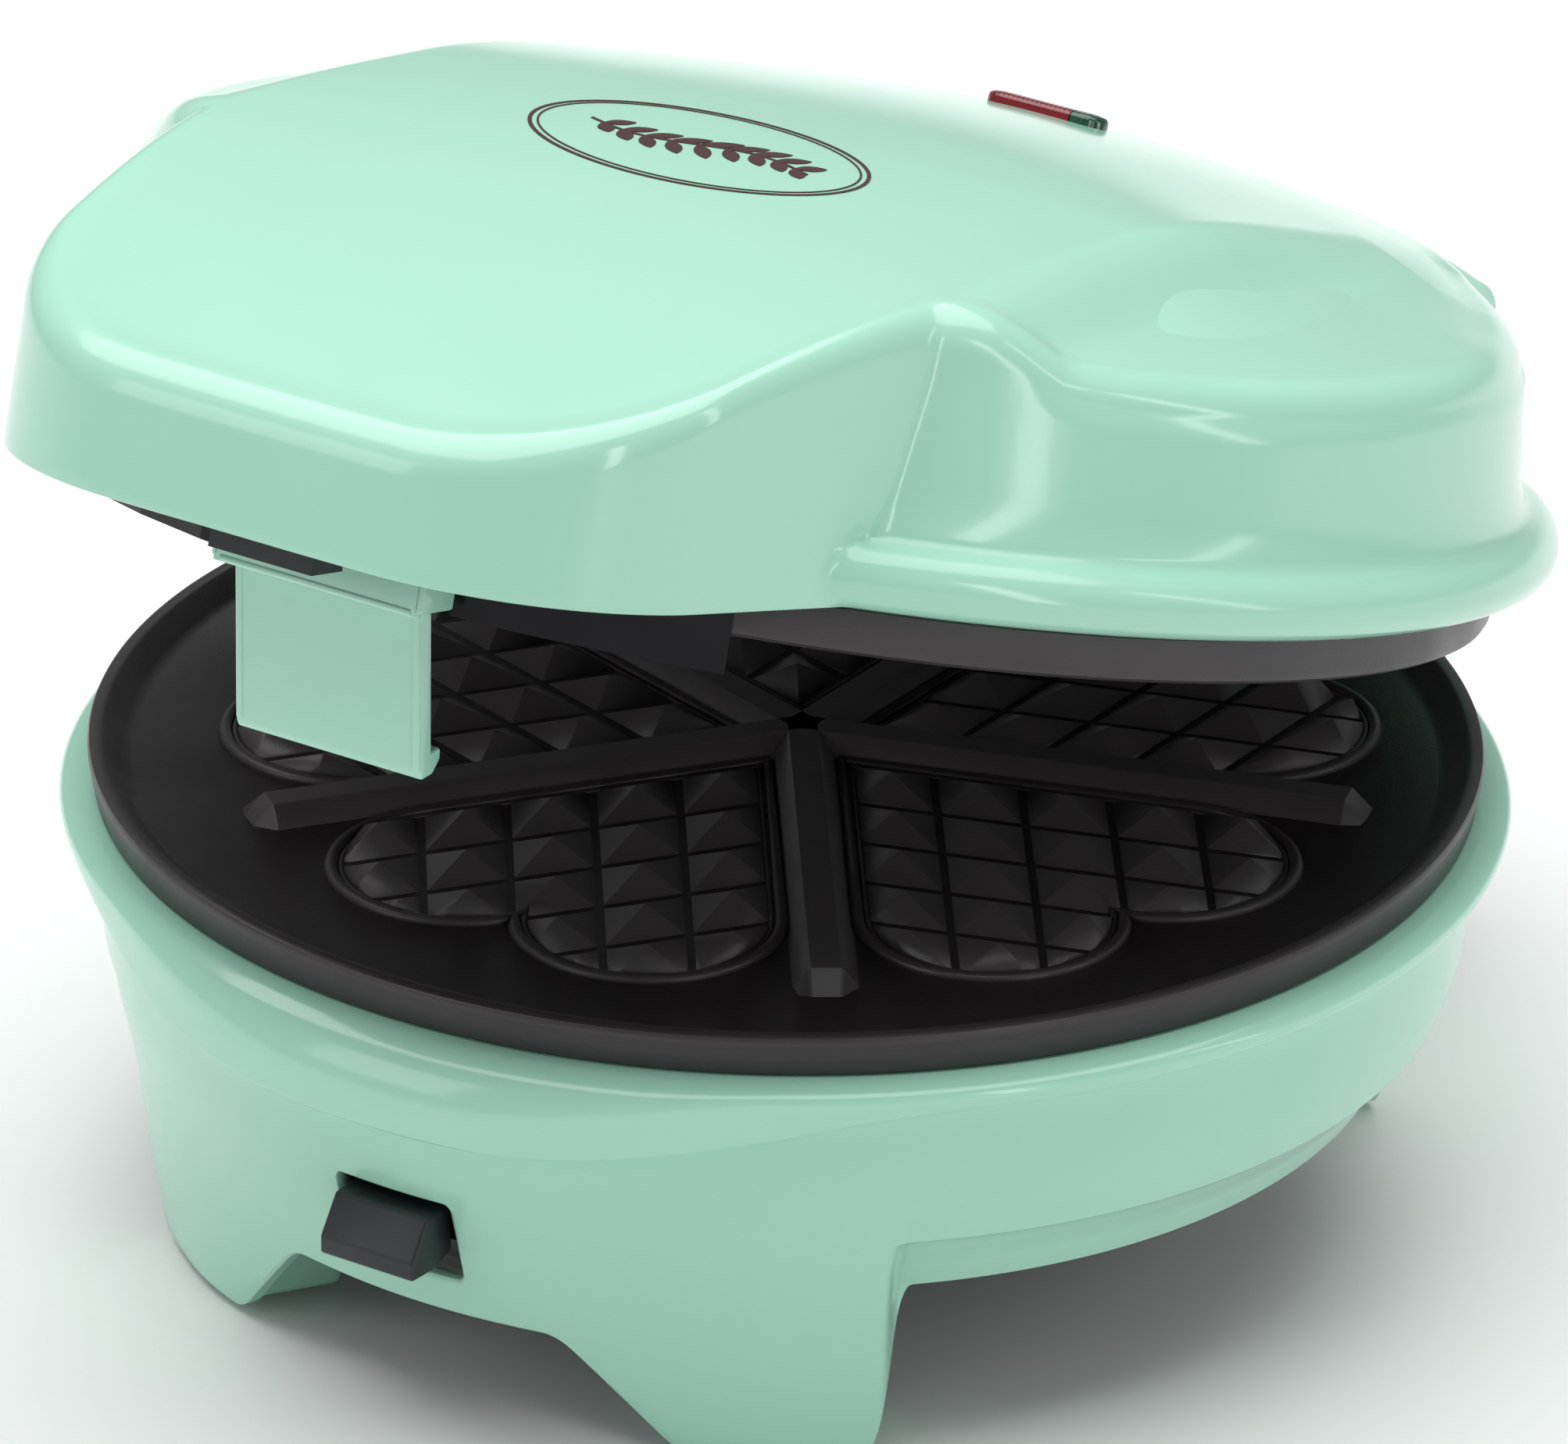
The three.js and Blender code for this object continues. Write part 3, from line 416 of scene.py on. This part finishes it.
def lid_top(x, y):
    """Height of the top skin: a crowned spine along the middle, blended into the lower drum top."""
    arc = SPINE["z"] + np.sqrt(SPINE["radius"] ** 2 - (y - SPINE["y"]) ** 2)
    crown = SPINE["crown"] + (SPINE["rear_crown"] - SPINE["crown"]) * smooth(y, -20, 45)
    panel = arc - crown * smooth(y, -90, -20) * (x / 60) ** 2
    away = np.abs(x) - spine_half(y)
    drum_half = np.sqrt(np.clip(91 ** 2 - y * y, 0, None))
    reach = np.maximum(BLEND["least"], drum_half - spine_half(y))
    fall = np.clip(away / reach, 0, 1)
    slope = LID["spine_foot"] - (LID["spine_foot"] - LID["shoulder"]) * fall
    drum = -soft_max(-slope, -panel, BLEND["edge"])
    stepped = drum + (panel - drum) * (1 - smooth(away, BLEND["inside"], BLEND["outside"]))
    front = smooth(y, -72, -66)
    return panel + (stepped - panel) * front


def lid_rows(angles, inset, levels, shoulder_turns, top_parts):
    inside = inset > 0
    lift = read([(159.9, 0), (165.3, BLOCK["lift"])], np.abs(angles))
    bead = [(0, LID["rim"]), (0, 20)] if inside else [
        (95.0, 13.9), (97.6, LID["rim"]), (98.8, 13.6), (100.2, 14.3), (101.3, 15.4), (101.9, 16.8),
        (102, 18.0),
        (101.7, 19.3), (101.0, 20.5), (100.0, 21.4), (98.8, 21.9), (97.6, 22.2), (96.7, 22.7), (96.1, 23.6)]
    drum_at = lambda z: LID["foot"] - (LID["foot"] - LID["top"]) * np.clip((z - 22) / 23, 0, 1)
    rows = []
    for k, (r, z) in enumerate(bead):
        outline = lid_outline(angles, inset, drum_at(z + 0 * angles))
        if not inside and k < 3:
            outline = outline - (1.0, 0.35, 0.08)[k]
        reach = soft_max(outline, r + 0 * angles, 1.5) if r else outline
        rows.append((reach, np.maximum(z, LID["rim"] + lift + 0.12 * k)))
    wall = lid_outline(angles, inset, drum_at(45 + 0 * angles))
    shoulder = wall - LID["round"]
    rim_points = around(angles, shoulder, 0 * angles)
    high = lid_top(rim_points[:, 0], rim_points[:, 1]) - (WALL if inside else 0)
    foot = rows[-1][1]
    spring = np.maximum(high - LID["round"], foot + 0.3)
    for part in levels:
        z = foot + (spring - foot) * part
        rows.append((lid_outline(angles, inset, drum_at(z)), z))
    for turn in shoulder_turns:
        t = math.radians(turn)
        rows.append((shoulder + LID["round"] * math.cos(t), spring + (high - spring) * math.sin(t)))
    for part in top_parts:
        place = around(angles, shoulder * part, 0 * angles)
        rows.append((shoulder * part, lid_top(place[:, 0], place[:, 1]) - (WALL if inside else 0)))
    return rows


def lid_housing():
    angles = np.linspace(-180, 180, 1080, endpoint=False)
    top_parts = np.concatenate([np.linspace(0.985, 0.5, 60), np.linspace(0.48, 0.02, 24)])
    outer = lid_rows(angles, 0, np.linspace(0.15, 1, 8), np.linspace(9, 81, 9), top_parts)
    inner = lid_rows(angles, WALL, (0.5, 1), (45,), (1, 0.7, 0.4, 0.1))
    rows = outer[::-1] + inner
    count = len(angles)
    points = np.concatenate([around(angles, r, z) for r, z in rows])
    faces = skin_faces(len(rows), count, False)
    top = float(lid_top(np.array(0.0), np.array(0.0)))
    points = np.vstack([points, [[0, 0, top], [0, 0, top - WALL]]])
    end = (len(rows) - 1) * count
    faces += [(count * len(rows), j, (j + 1) % count) for j in range(count)]
    faces += [(count * len(rows) + 1, end + (j + 1) % count, end + j) for j in range(count)]
    shell = piece_from("lid_skin", lid_point(points), faces, 34)

    wall = prism("wall", [(100, 16), (102.6, 16), (102.6, 42), (100, 42.4)], -31.6, 31.6, lid_point)
    web_side = [(101, 16), (114, 12.6), (HINGE_Y, 10.9), (HINGE_Y, 26.9), (112, 33), (101, 40)]
    web = prism("web", web_side, -KNUCKLE["half"], KNUCKLE["half"], lid_point, 0.6)
    knuckle = disc_x("knuckle", KNUCKLE["radius"], -KNUCKLE["half"], KNUCKLE["half"], HINGE_Y, HINGE_Z,
                     lid_point, 0.8)
    housing = join([shell, wall, web, knuckle], "lid_housing")
    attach(housing, "lid")
    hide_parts("lid_shell")
    housing.data.materials.append(MINT)
    return housing


# ---------------------------------------------------------------- waffle plates

PLATE_GAP = 12.5                     # from the lower plate's seat to the upper plate's, lid closed
FLOOR = 2.8
PATTERN_Y = 4.0
HALF_ANGLE = math.radians(36)
HEART = dict(side=4.4, lobe=18.2, across=14.8)
CELL = dict(pitch=12.2, side=5.6, groove=0.55, height=2.6)


def heart_outline(inset, steps=28):
    """One heart, its point at the pattern centre and its cleft towards the front, as [x, y]."""
    s, c = math.sin(HALF_ANGLE), math.cos(HALF_ANGLE)
    centre_t = (HEART["side"] + HEART["lobe"] + HEART["across"] * c) / s
    r = HEART["lobe"] - inset
    low = -math.asin(min(1, HEART["across"] / r))
    turns = np.linspace(math.pi / 2 + HALF_ANGLE, low, steps)
    lobe = [(HEART["across"] + r * math.sin(t), centre_t + r * math.cos(t)) for t in turns]
    tip = (0.0, (HEART["side"] + inset) / s)
    half = [tip] + lobe
    half[-1] = (0.0, half[-1][1])
    other = [(-x, t) for x, t in reversed(half[1:-1])]
    return [(x, -t) for x, t in half + other]


def seat(points, turn, flip):
    """Pattern points turned to heart number `turn`, on the lower plate or, flipped, on the upper one."""
    a = turn * 2 * HALF_ANGLE
    p = np.asarray(points, float)
    x = p[:, 0] * math.cos(a) - p[:, 1] * math.sin(a)
    y = p[:, 0] * math.sin(a) + p[:, 1] * math.cos(a) + PATTERN_Y
    z = p[:, 2]
    if flip:
        return lid_point(np.column_stack([x, y, 12.5 - z]))
    return base_point(np.column_stack([x, y, z]))


def pyramids():
    """The rhombic pyramids of one heart, cut to its outline, in pattern millimetres."""
    u = np.array([math.sin(HALF_ANGLE), -math.cos(HALF_ANGLE)])
    v = np.array([-math.sin(HALF_ANGLE), -math.cos(HALF_ANGLE)])
    start = np.array([0.0, -CELL["side"] / math.sin(HALF_ANGLE)])
    points, faces = [], []
    gap = CELL["groove"] / CELL["pitch"] / math.sin(2 * HALF_ANGLE)
    for i in range(8):
        for j in range(8):
            corners = [(i + gap, j + gap), (i + 1 - gap, j + gap), (i + 1 - gap, j + 1 - gap),
                       (i + gap, j + 1 - gap)]
            n = len(points)
            for a, b in corners:
                x, y = start + CELL["pitch"] * (a * u + b * v)
                points.append((x, y, FLOOR))
            for a, b in corners:
                x, y = start + CELL["pitch"] * (a * u + b * v)
                points.append((x, y, FLOOR - 1))
            x, y = start + CELL["pitch"] * ((i + 0.5) * u + (j + 0.5) * v)
            points.append((x, y, FLOOR + CELL["height"]))
            faces += [(n + k, n + (k + 1) % 4, n + 8) for k in range(4)]
            faces += [(n + 4 + k, n + 4 + (k + 1) % 4, n + (k + 1) % 4, n + k) for k in range(4)]
            faces.append((n + 7, n + 6, n + 5, n + 4))
    cells = piece_from("cells", points, faces, 10)
    cutter = prism("heart", heart_outline(2.3), FLOOR - 0.5, 20, lambda p: p, axis="z")
    boolean(cells, cutter, "INTERSECT")
    return cells


def border(inset, radius, squash_z=1.0):
    """A rounded bead along the heart's outline, in pattern millimetres."""
    path = heart_outline(inset)
    count, sides = len(path), 10
    path = np.array(path)
    ahead, behind = np.roll(path, -1, axis=0), np.roll(path, 1, axis=0)
    along = ahead - behind
    along /= np.linalg.norm(along, axis=1)[:, None]
    out = np.column_stack([along[:, 1], -along[:, 0]])
    rings = []
    for k in range(sides):
        t = 2 * math.pi * k / sides
        ring = path + out * radius * math.cos(t)
        rings.append(np.column_stack([ring, np.full(count, FLOOR + radius * squash_z * math.sin(t))]))
    return piece_from("border", np.concatenate(rings), skin_faces(sides, count, True), 60)


def ridge():
    """One of the five raised bars between the hearts, with a flat top and sloped sides."""
    half, foot, top, reach = 2.0, 4.3, 5.6, 79.0
    across = [(-foot - 0.5, FLOOR - 0.6), (foot + 0.5, FLOOR - 0.6), (foot, FLOOR + 0.1),
              (half + 0.4, top - 0.3),
              (half, top), (-half, top), (-half - 0.4, top - 0.3), (-foot, FLOOR + 0.1)]
    points = [(x, 0.0, z) for x, z in across]
    points += [(x, -reach + 3, z) for x, z in across]
    points += [(x * 0.9, -reach, FLOOR - 0.6 + (z - FLOOR + 0.6) * 0.15) for x, z in across]
    faces = skin_faces(3, len(across), False)
    faces += [tuple(range(len(across))), tuple(reversed(range(16, 24)))]
    bar = piece_from("ridge", points, faces, 15)
    a = HALF_ANGLE
    bar.data.transform(Matrix.Rotation(a, 4, "Z"))
    return bar


def flipped_point(points):
    """The lower plate's points, turned over into the lid."""
    return lid_point(np.asarray(points, float) * (1, 1, -1) + (0, 0, PLATE_GAP))


def plate(name, node, body, flip):
    """One plate: a turned dish with the heart pattern repeated five times."""
    hearts = [pyramids(), border(0.6, 0.95), border(1.9, 0.42, 0.9), ridge()]
    parts = []
    lower = [(0.0, -1), (84, -1), (84, 0.3), (93.3, 0.3), (93.6, 0.6), (94.3, 4.6), (94.35, 5.2),
             (94.1, 5.75), (93.6, 6.0), (92.6, 6.0), (92.1, 5.8), (89.9, 3.5), (89.2, 3.1),
             (88.2, FLOOR), (0.0, FLOOR)]
    upper = [(0.0, -1.3), (84, -1.3), (84, -0.4), (93.9, -0.4), (94.4, 0.1), (94.4, 4.6), (94.0, 5.5),
             (93.3, 6.0), (92.6, 6.0), (92.1, 5.8), (89.9, 3.5), (89.2, 3.1), (88.2, FLOOR), (0.0, FLOOR)]
    to_world = flipped_point if flip else base_point
    parts.append(turned("dish", upper if flip else lower, to_world, 360, 30))
    for turn in range(5):
        for source in hearts:
            copy = source.data.copy()
            places = seat([tuple(v.co) for v in copy.vertices], turn, flip)
            copy.vertices.foreach_set("co", np.asarray(places, np.float32).ravel())
            parts.append(link("part", copy))
    for source in hearts:
        bpy.data.objects.remove(source)
    piece = join(parts, name)
    bm = bmesh.new()
    bm.from_mesh(piece.data)
    if flip:
        bmesh.ops.recalc_face_normals(bm, faces=bm.faces)
    bm.to_mesh(piece.data)
    bm.free()
    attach(piece, body)
    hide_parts(node)
    piece.data.materials.clear()
    piece.data.materials.append(COATED)
    return piece


# ---------------------------------------------------------------- latch, button, lamp and emblem

LATCH_Y, LATCH_Z = -110.3, 7.4       # the latch's pin
LATCH = dict(half=14.5, half_thick=1.3, barrel=2.2)
BRACKET = dict(half=16.5, front=-113.9, back=-106.4, top=13.9, bottom=4.6)


def latch_place(points):
    """Latch-frame points, hanging from its pin, to the row frame: it hangs plumb while the lid is ajar."""
    pin = lid_point([(0.0, LATCH_Y, LATCH_Z)])[0]
    return np.asarray(points, float) * MM + pin


def latch():
    half, t = LATCH["half"], LATCH["half_thick"]
    side = [(-t, 1.5), (-t, -25.0), (-0.9, -26), (1.5, -26), (3.3, -24.4), (3.3, -22.8), (t, -22.8),
            (t, 1.5)]
    body = prism("latch", side, -half, half, latch_place, 0.45, 3)
    barrel = disc_x("barrel", LATCH["barrel"], -14.4, 14.4, 0, 0, latch_place, 0.4)
    rim_side = [(-1.5, -2.5), (-1.5, -24.6), (-0.5, -24.6), (-0.5, -2.5)]
    rims = [prism("rim", rim_side, x, x + 1.1, latch_place, 0.3) for x in (-14.4, 13.3)]
    piece = join([body, barrel, *rims], "latch")
    finish(piece, "latch", "mint_shell", MINT, "latch_plate")


def bracket():
    half, front, back = BRACKET["half"], BRACKET["front"], BRACKET["back"]
    top, bottom = BRACKET["top"], BRACKET["bottom"]
    ledge_side = [(-114.3, top), (back, top), (back, 10.6), (-114.3, 10.2)]
    ledge = prism("ledge", ledge_side, -half, half, lid_point, 0.5)
    wall_side = [(front, 12), (-112.9, 12), (-112.9, bottom), (front, bottom)]
    wall = prism("wall", wall_side, -16.0, 16.0, lid_point, 0.3)
    cheek_side = [(front, 12), (back, 12), (back, 5.2), (front, 5.2)]
    cheeks = [prism("cheek", cheek_side, x, x + 1.3, lid_point, 0.4) for x in (-16.4, 15.1)]
    bar = disc_x("bar", 0.6, -14.9, 14.9, -113.5, 5.2, lid_point, 0.2)
    piece = join([ledge, wall, *cheeks, bar], "latch_bracket_piece")
    finish(piece, "lid", "mint_shell", MINT, "latch_bracket")


def finish(piece, body, slot, material, *nodes):
    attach(piece, body)
    if nodes:
        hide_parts(*nodes)
    piece.data.materials.clear()
    piece.data.materials.append(material)


def button():
    wedge = [(-98, -34.6), (-98, -32), (-94.5, -26.8), (-89, -26.6), (-89, -33.6), (-93.5, -34.8)]
    head = prism("button", wedge, -7.5, 7.5, base_point, 0.55, 4)
    arm_side = [(-90, -31), (-62, -30.4), (-62, -28.2), (-72, -27), (-90, -27)]
    arm = prism("arm", arm_side, -5, 5, base_point, 0.3)
    riser_side = [(-86.2, -30), (-84.2, -30), (-84.2, -5.2), (-81.6, -5.2), (-81.6, -3.5), (-86.2, -3.5)]
    riser = prism("riser", riser_side, -3.4, 3.4, base_point, 0.2)
    hub = disc_x("hub", 3.4, -7.1, 7.1, -75, -29, base_point, 0.3)
    piece = join([head, arm, riser, hub], "release_button")
    finish(piece, "lower_release", "black_plastic", BLACK, "lower_release_lever")


LENS = dict(y=49.9, z=57.2, half=9.0, radius=3.0, split=5.0)


def lens(name, x0, x1, material, slot, node):
    """One end of the domed capsule lens across the lid."""
    tilt = Matrix.Rotation(math.radians(-8.5), 3, "X")
    half, radius = LENS["half"] + 0.3 - LENS["radius"], LENS["radius"]
    rings = []
    for rise, inset in ((-3, 0), (0.7, 0), (1.1, 0.15), (1.35, 0.5), (1.5, 1.1), (1.62, 2.0)):
        ring = []
        for t in np.radians(np.linspace(90, 270, 17)):
            ring.append((-half + (radius - inset) * math.cos(t), (radius - inset) * math.sin(t), rise))
        for t in np.radians(np.linspace(-90, 90, 17)):
            ring.append((half + (radius - inset) * math.cos(t), (radius - inset) * math.sin(t), rise))
        rings.append([(min(max(x, x0), x1), y, z) for x, y, z in ring])
    count = len(rings[0])
    points = [tuple(tilt @ Vector(p) + Vector((0, LENS["y"], LENS["z"]))) for ring in rings for p in ring]
    faces = skin_faces(len(rings), count, False)
    faces += [tuple(range(count)), tuple(reversed(range((len(rings) - 1) * count, len(rings) * count)))]
    piece = piece_from(name, lid_point(points), faces, 40)
    finish(piece, "lid", slot, material, node)


def on_lid(xy, rise):
    xy = np.asarray(xy, float)
    z = lid_top(xy[:, 0], xy[:, 1]) + rise
    return np.column_stack([xy, z])


def print_shape(name, outline, hole=None):
    """A thin printed shape on the lid: a ring between two outlines, or a strip given as two long edges."""
    a, b = np.asarray(outline, float), np.asarray(hole, float)
    closed = len(a) > 2 and np.allclose(a[0], a[-1])
    if closed:
        a, b = a[:-1], b[:-1]
    count = len(a)
    rings = [on_lid(a, 0.02), on_lid(a, 0.12), on_lid(b, 0.12), on_lid(b, 0.02)]
    points = lid_point(np.concatenate(rings))
    faces = []
    for i in range(4):
        n = (i + 1) % 4
        for j in range(count if closed else count - 1):
            k = (j + 1) % count
            faces.append((i * count + j, i * count + k, n * count + k, n * count + j))
    return piece_from(name, points, faces, 30)


def ellipse(cx, cy, rx, ry, steps=96, start=0.0, end=360.0):
    t = np.radians(np.linspace(start, end, steps + 1))
    return np.column_stack([cx + rx * np.cos(t), cy + ry * np.sin(t)])


def emblem():
    """A plain printed oval with a sprig of leaves: an ornament of no particular maker."""
    cx, cy, rx, ry = 0.0, -38.7, 24.7, 16.8
    parts = [print_shape("oval", ellipse(cx, cy, rx, ry), ellipse(cx, cy, rx - 0.55, ry - 0.55)),
             print_shape("oval", ellipse(cx, cy, rx - 1.2, ry - 1.2), ellipse(cx, cy, rx - 1.5, ry - 1.5))]
    stem_x = np.linspace(-17, 17, 40)
    stem_y = cy + 2.2 * np.sin(stem_x / 34 * 2 * math.pi)
    parts.append(print_shape("stem", np.column_stack([stem_x, stem_y + 0.28]),
                             np.column_stack([stem_x, stem_y - 0.28])))
    for k in range(-4, 5):
        for side in (-1, 1):
            x0 = 3.6 * k
            y0 = cy + 2.2 * math.sin(x0 / 34 * 2 * math.pi)
            length = 6.2 - 0.45 * abs(k)
            lean = math.radians(48)
            along = np.linspace(0, 1, 14)
            half = 1.15 * np.sin(np.pi * along) ** 0.8
            ax, ay = math.cos(lean), side * math.sin(lean)
            px, py = x0 + along * length * ax, y0 + along * length * ay
            left = np.column_stack([px - half * ay, py + half * ax])
            right = np.column_stack([px + half * ay, py - half * ax])
            parts.append(print_shape("leaf", left, right))
    piece = join(parts, "oval_emblem")
    finish(piece, "lid", "mint_shell", INK)

# ---------------------------------------------------------------- materials


def material(name, colour, roughness, metallic=0.0, coat=0.0, specular=0.5):
    """A node material with its shader, and the object coordinates that the finish's noise is read from."""
    made = bpy.data.materials.new(name)
    made.use_nodes = True
    nodes, links = made.node_tree.nodes, made.node_tree.links
    shader = nodes["Principled BSDF"]
    shader.inputs["Base Color"].default_value = (*colour, 1)
    shader.inputs["Roughness"].default_value = roughness
    shader.inputs["Metallic"].default_value = metallic
    shader.inputs["Coat Weight"].default_value = coat
    shader.inputs["Coat Roughness"].default_value = 0.06
    shader.inputs["Specular IOR Level"].default_value = specular
    place = nodes.new("ShaderNodeTexCoord").outputs["Object"]
    return made, nodes, links, shader, place


def noise(nodes, links, place, scale, detail=4.0):
    node = nodes.new("ShaderNodeTexNoise")
    node.inputs["Scale"].default_value = scale
    node.inputs["Detail"].default_value = detail
    links.new(place, node.inputs["Vector"])
    return node.outputs["Fac"]


def spread(nodes, links, value, low, high, start=0.35, end=0.65):
    node = nodes.new("ShaderNodeMapRange")
    node.inputs["From Min"].default_value = start
    node.inputs["From Max"].default_value = end
    node.inputs["To Min"].default_value = low
    node.inputs["To Max"].default_value = high
    links.new(value, node.inputs["Value"])
    return node.outputs["Result"]


def tint(nodes, links, factor, dark, light):
    node = nodes.new("ShaderNodeMix")
    node.data_type = "RGBA"
    node.inputs["A"].default_value = (*dark, 1)
    node.inputs["B"].default_value = (*light, 1)
    links.new(factor, node.inputs["Factor"])
    return node.outputs["Result"]


def bump(nodes, links, shader, height, strength, distance):
    node = nodes.new("ShaderNodeBump")
    node.inputs["Strength"].default_value = strength
    node.inputs["Distance"].default_value = distance
    links.new(height, node.inputs["Height"])
    links.new(node.outputs["Normal"], shader.inputs["Normal"])


def finished(name, colour, roughness, grain, grain_depth, shade=0.92, metallic=0.0, coat=0.0, specular=0.5,
             rough_spread=0.06, patch=18.0):
    """Soft patches of tone and gloss over a fine moulded or cast grain."""
    made, nodes, links, shader, place = material(name, colour, roughness, metallic, coat, specular)
    tone = spread(nodes, links, noise(nodes, links, place, patch), 0, 1)
    dark = tuple(channel * shade for channel in colour)
    links.new(tint(nodes, links, tone, dark, colour), shader.inputs["Base Color"])
    gloss = spread(nodes, links, noise(nodes, links, place, patch * 2.3), roughness - rough_spread,
                   roughness + rough_spread)
    links.new(gloss, shader.inputs["Roughness"])
    bump(nodes, links, shader, noise(nodes, links, place, grain, 3), 0.35, grain_depth)
    return made


def coated_metal():
    """Dark non-stick coating: satin, finely pebbled, with raised edges made paler by a painted highlight.
    """
    made, nodes, links, shader, place = material("nonstick_coating", (0.03, 0.026, 0.028), 0.4, 0.25,
                                                 0.0, 0.55)
    edges = nodes.new("ShaderNodeNewGeometry").outputs["Pointiness"]
    # Painted highlight: the pointiness mask blends raised edges towards a paler colour, standing in for
    # light caught along the edges.
    painted_edge_highlight = spread(nodes, links, edges, 0, 1, 0.515, 0.60)
    coat, edge_highlight_colour = (0.022, 0.018, 0.020), (0.085, 0.078, 0.080)
    links.new(tint(nodes, links, painted_edge_highlight, coat, edge_highlight_colour), shader.inputs["Base Color"])
    gloss = spread(nodes, links, noise(nodes, links, place, 60), 0.34, 0.46)
    links.new(gloss, shader.inputs["Roughness"])
    bump(nodes, links, shader, noise(nodes, links, place, 2600, 2), 0.5, 0.00006)
    return made


def tinted_lens(name, colour):
    made, nodes, links, shader, place = material(name, colour, 0.08, 0.0, 0.6)
    tone = spread(nodes, links, noise(nodes, links, place, 240), 0, 1)
    links.new(tint(nodes, links, tone, tuple(c * 0.7 for c in colour), colour), shader.inputs["Base Color"])
    wave = nodes.new("ShaderNodeTexWave")
    wave.inputs["Scale"].default_value = 420
    links.new(place, wave.inputs["Vector"])
    bump(nodes, links, shader, wave.outputs["Fac"], 0.2, 0.0002)
    return made


MINT = finished("mint_gloss_plastic", (0.400, 0.735, 0.580), 0.17, 900, 0.00001, 0.975, coat=0.25,
                rough_spread=0.03)
BLACK = finished("black_satin_plastic", (0.018, 0.021, 0.023), 0.42, 3200, 0.00005, 0.8)
GUARD = finished("black_gloss_plastic", (0.014, 0.013, 0.016), 0.16, 900, 0.00001, 0.8)
RUBBER = finished("pad_rubber", (0.03, 0.03, 0.03), 0.8, 1800, 0.0001, 0.7)
STEEL = finished("plain_steel", (0.55, 0.55, 0.57), 0.3, 1500, 0.00002, 0.85, metallic=1.0)
SHEET = finished("aluminium_sheet", (0.76, 0.77, 0.78), 0.36, 700, 0.00003, 0.88, metallic=1.0)
CERAMIC = finished("ceramic", (0.82, 0.78, 0.70), 0.7, 900, 0.00006, 0.9)
GLASS = finished("lamp_glass", (0.9, 0.82, 0.74), 0.08, 500, 0.00001, 0.9, coat=0.5)
INK = finished("dark_print", (0.060, 0.016, 0.014), 0.35, 2400, 0.00001, 0.8)
COATED = coated_metal()
RED = tinted_lens("red_lens", (0.20, 0.008, 0.012))
GREEN = tinted_lens("green_lens", (0.008, 0.075, 0.040))

SLOT_LOOKS = {"mint_shell": MINT, "rubber_pad": RUBBER, "coated_plate": COATED, "aluminium_sheet": SHEET,
              "ceramic": CERAMIC, "red_lens": RED, "green_lens": GREEN, "clear_glass": GLASS,
              "black_plastic": BLACK, "steel": STEEL}


def dress_nodes():
    """The CAD solids that stay get their slot's material."""
    for part in frame["record"]["subparts"]:
        node = frame["nodes"][part["node"]]
        look = GUARD if part["node"] == "lid_inner_cover" else SLOT_LOOKS[part["material_slot"]]
        node.data.materials.clear()
        node.data.materials.append(look)


# ---------------------------------------------------------------- stage, light and camera


def floor_and_light():
    bpy.ops.mesh.primitive_plane_add(size=12, location=(0, 0, -0.0002))
    floor = bpy.context.object
    floor.name = "floor"
    look = bpy.data.materials.new("pale_floor")
    look.use_nodes = True
    shader = look.node_tree.nodes["Principled BSDF"]
    shader.inputs["Base Color"].default_value = (0.93, 0.93, 0.93, 1)
    shader.inputs["Roughness"].default_value = 0.6
    floor.data.materials.append(look)

    world = bpy.data.worlds.new("studio")
    world.use_nodes = True
    world.node_tree.nodes["Background"].inputs["Color"].default_value = (1, 1, 1, 1)
    world.node_tree.nodes["Background"].inputs["Strength"].default_value = 0.26
    bpy.context.scene.world = world
    bpy.context.scene.view_settings.view_transform = "Standard"

    area("overhead", (-0.2, 0.1, 1.6), 2.2, 2.2, 39)
    area("front_box", (-0.75, -1.5, 0.75), 0.8, 0.8, 3.5)
    area("right_strip", (1.35, -0.55, 0.55), 0.14, 1.0, 2.2)
    area("right_strip_far", (1.2, 0.35, 0.6), 0.10, 0.9, 1.2)


def area(name, place, width, height, power):
    light = bpy.data.lights.new(name, "AREA")
    light.shape = "RECTANGLE"
    light.size, light.size_y = width, height
    light.energy = power
    lamp = bpy.data.objects.new(name, light)
    bpy.context.scene.collection.objects.link(lamp)
    lamp.location = place
    lamp.rotation_euler = (Vector((0, 0, 0.08)) - Vector(place)).to_track_quat("-Z", "Y").to_euler()


CAMERA = dict(distance=1.8, azimuth=33.4, elevation=25.15, roll=0.85, focal=305.4, shift=(-0.00105, 0.0301))


def camera():
    data = bpy.data.cameras.new("camera")
    data.sensor_width = 36
    data.lens = CAMERA["focal"]
    data.shift_x, data.shift_y = CAMERA["shift"]
    data.clip_end = 20
    a, e, r = (math.radians(CAMERA[key]) for key in ("azimuth", "elevation", "roll"))
    back = Vector((math.sin(a) * math.cos(e), -math.cos(a) * math.cos(e), math.sin(e)))
    right = Vector((math.cos(a), math.sin(a), 0))
    up = back.cross(right)
    rolled = right * math.cos(r) + up * math.sin(r)
    up = up * math.cos(r) - right * math.sin(r)
    turn = Matrix((rolled, up, back)).transposed().to_4x4()
    eye = bpy.data.objects.new("camera", data)
    bpy.context.scene.collection.objects.link(eye)
    target = Vector((0, CENTRE_Y * MM, SEAT_Z * MM))
    eye.matrix_world = Matrix.Translation(target + back * CAMERA["distance"]) @ turn
    bpy.context.scene.camera = eye


# ---------------------------------------------------------------- build

camera()
floor_and_light()
dress_nodes()
base_housing()
lid_housing()
plate("lower_waffle_plate", "lower_plate", "base", False)
plate("upper_waffle_plate", "upper_plate", "lid", True)
latch()
bracket()
button()
lens("lamp_red", -20, LENS["split"], RED, "red_lens", "lamp_lens_red")
lens("lamp_green", LENS["split"] + 0.2, 20, GREEN, "green_lens", "lamp_lens_green")
emblem()
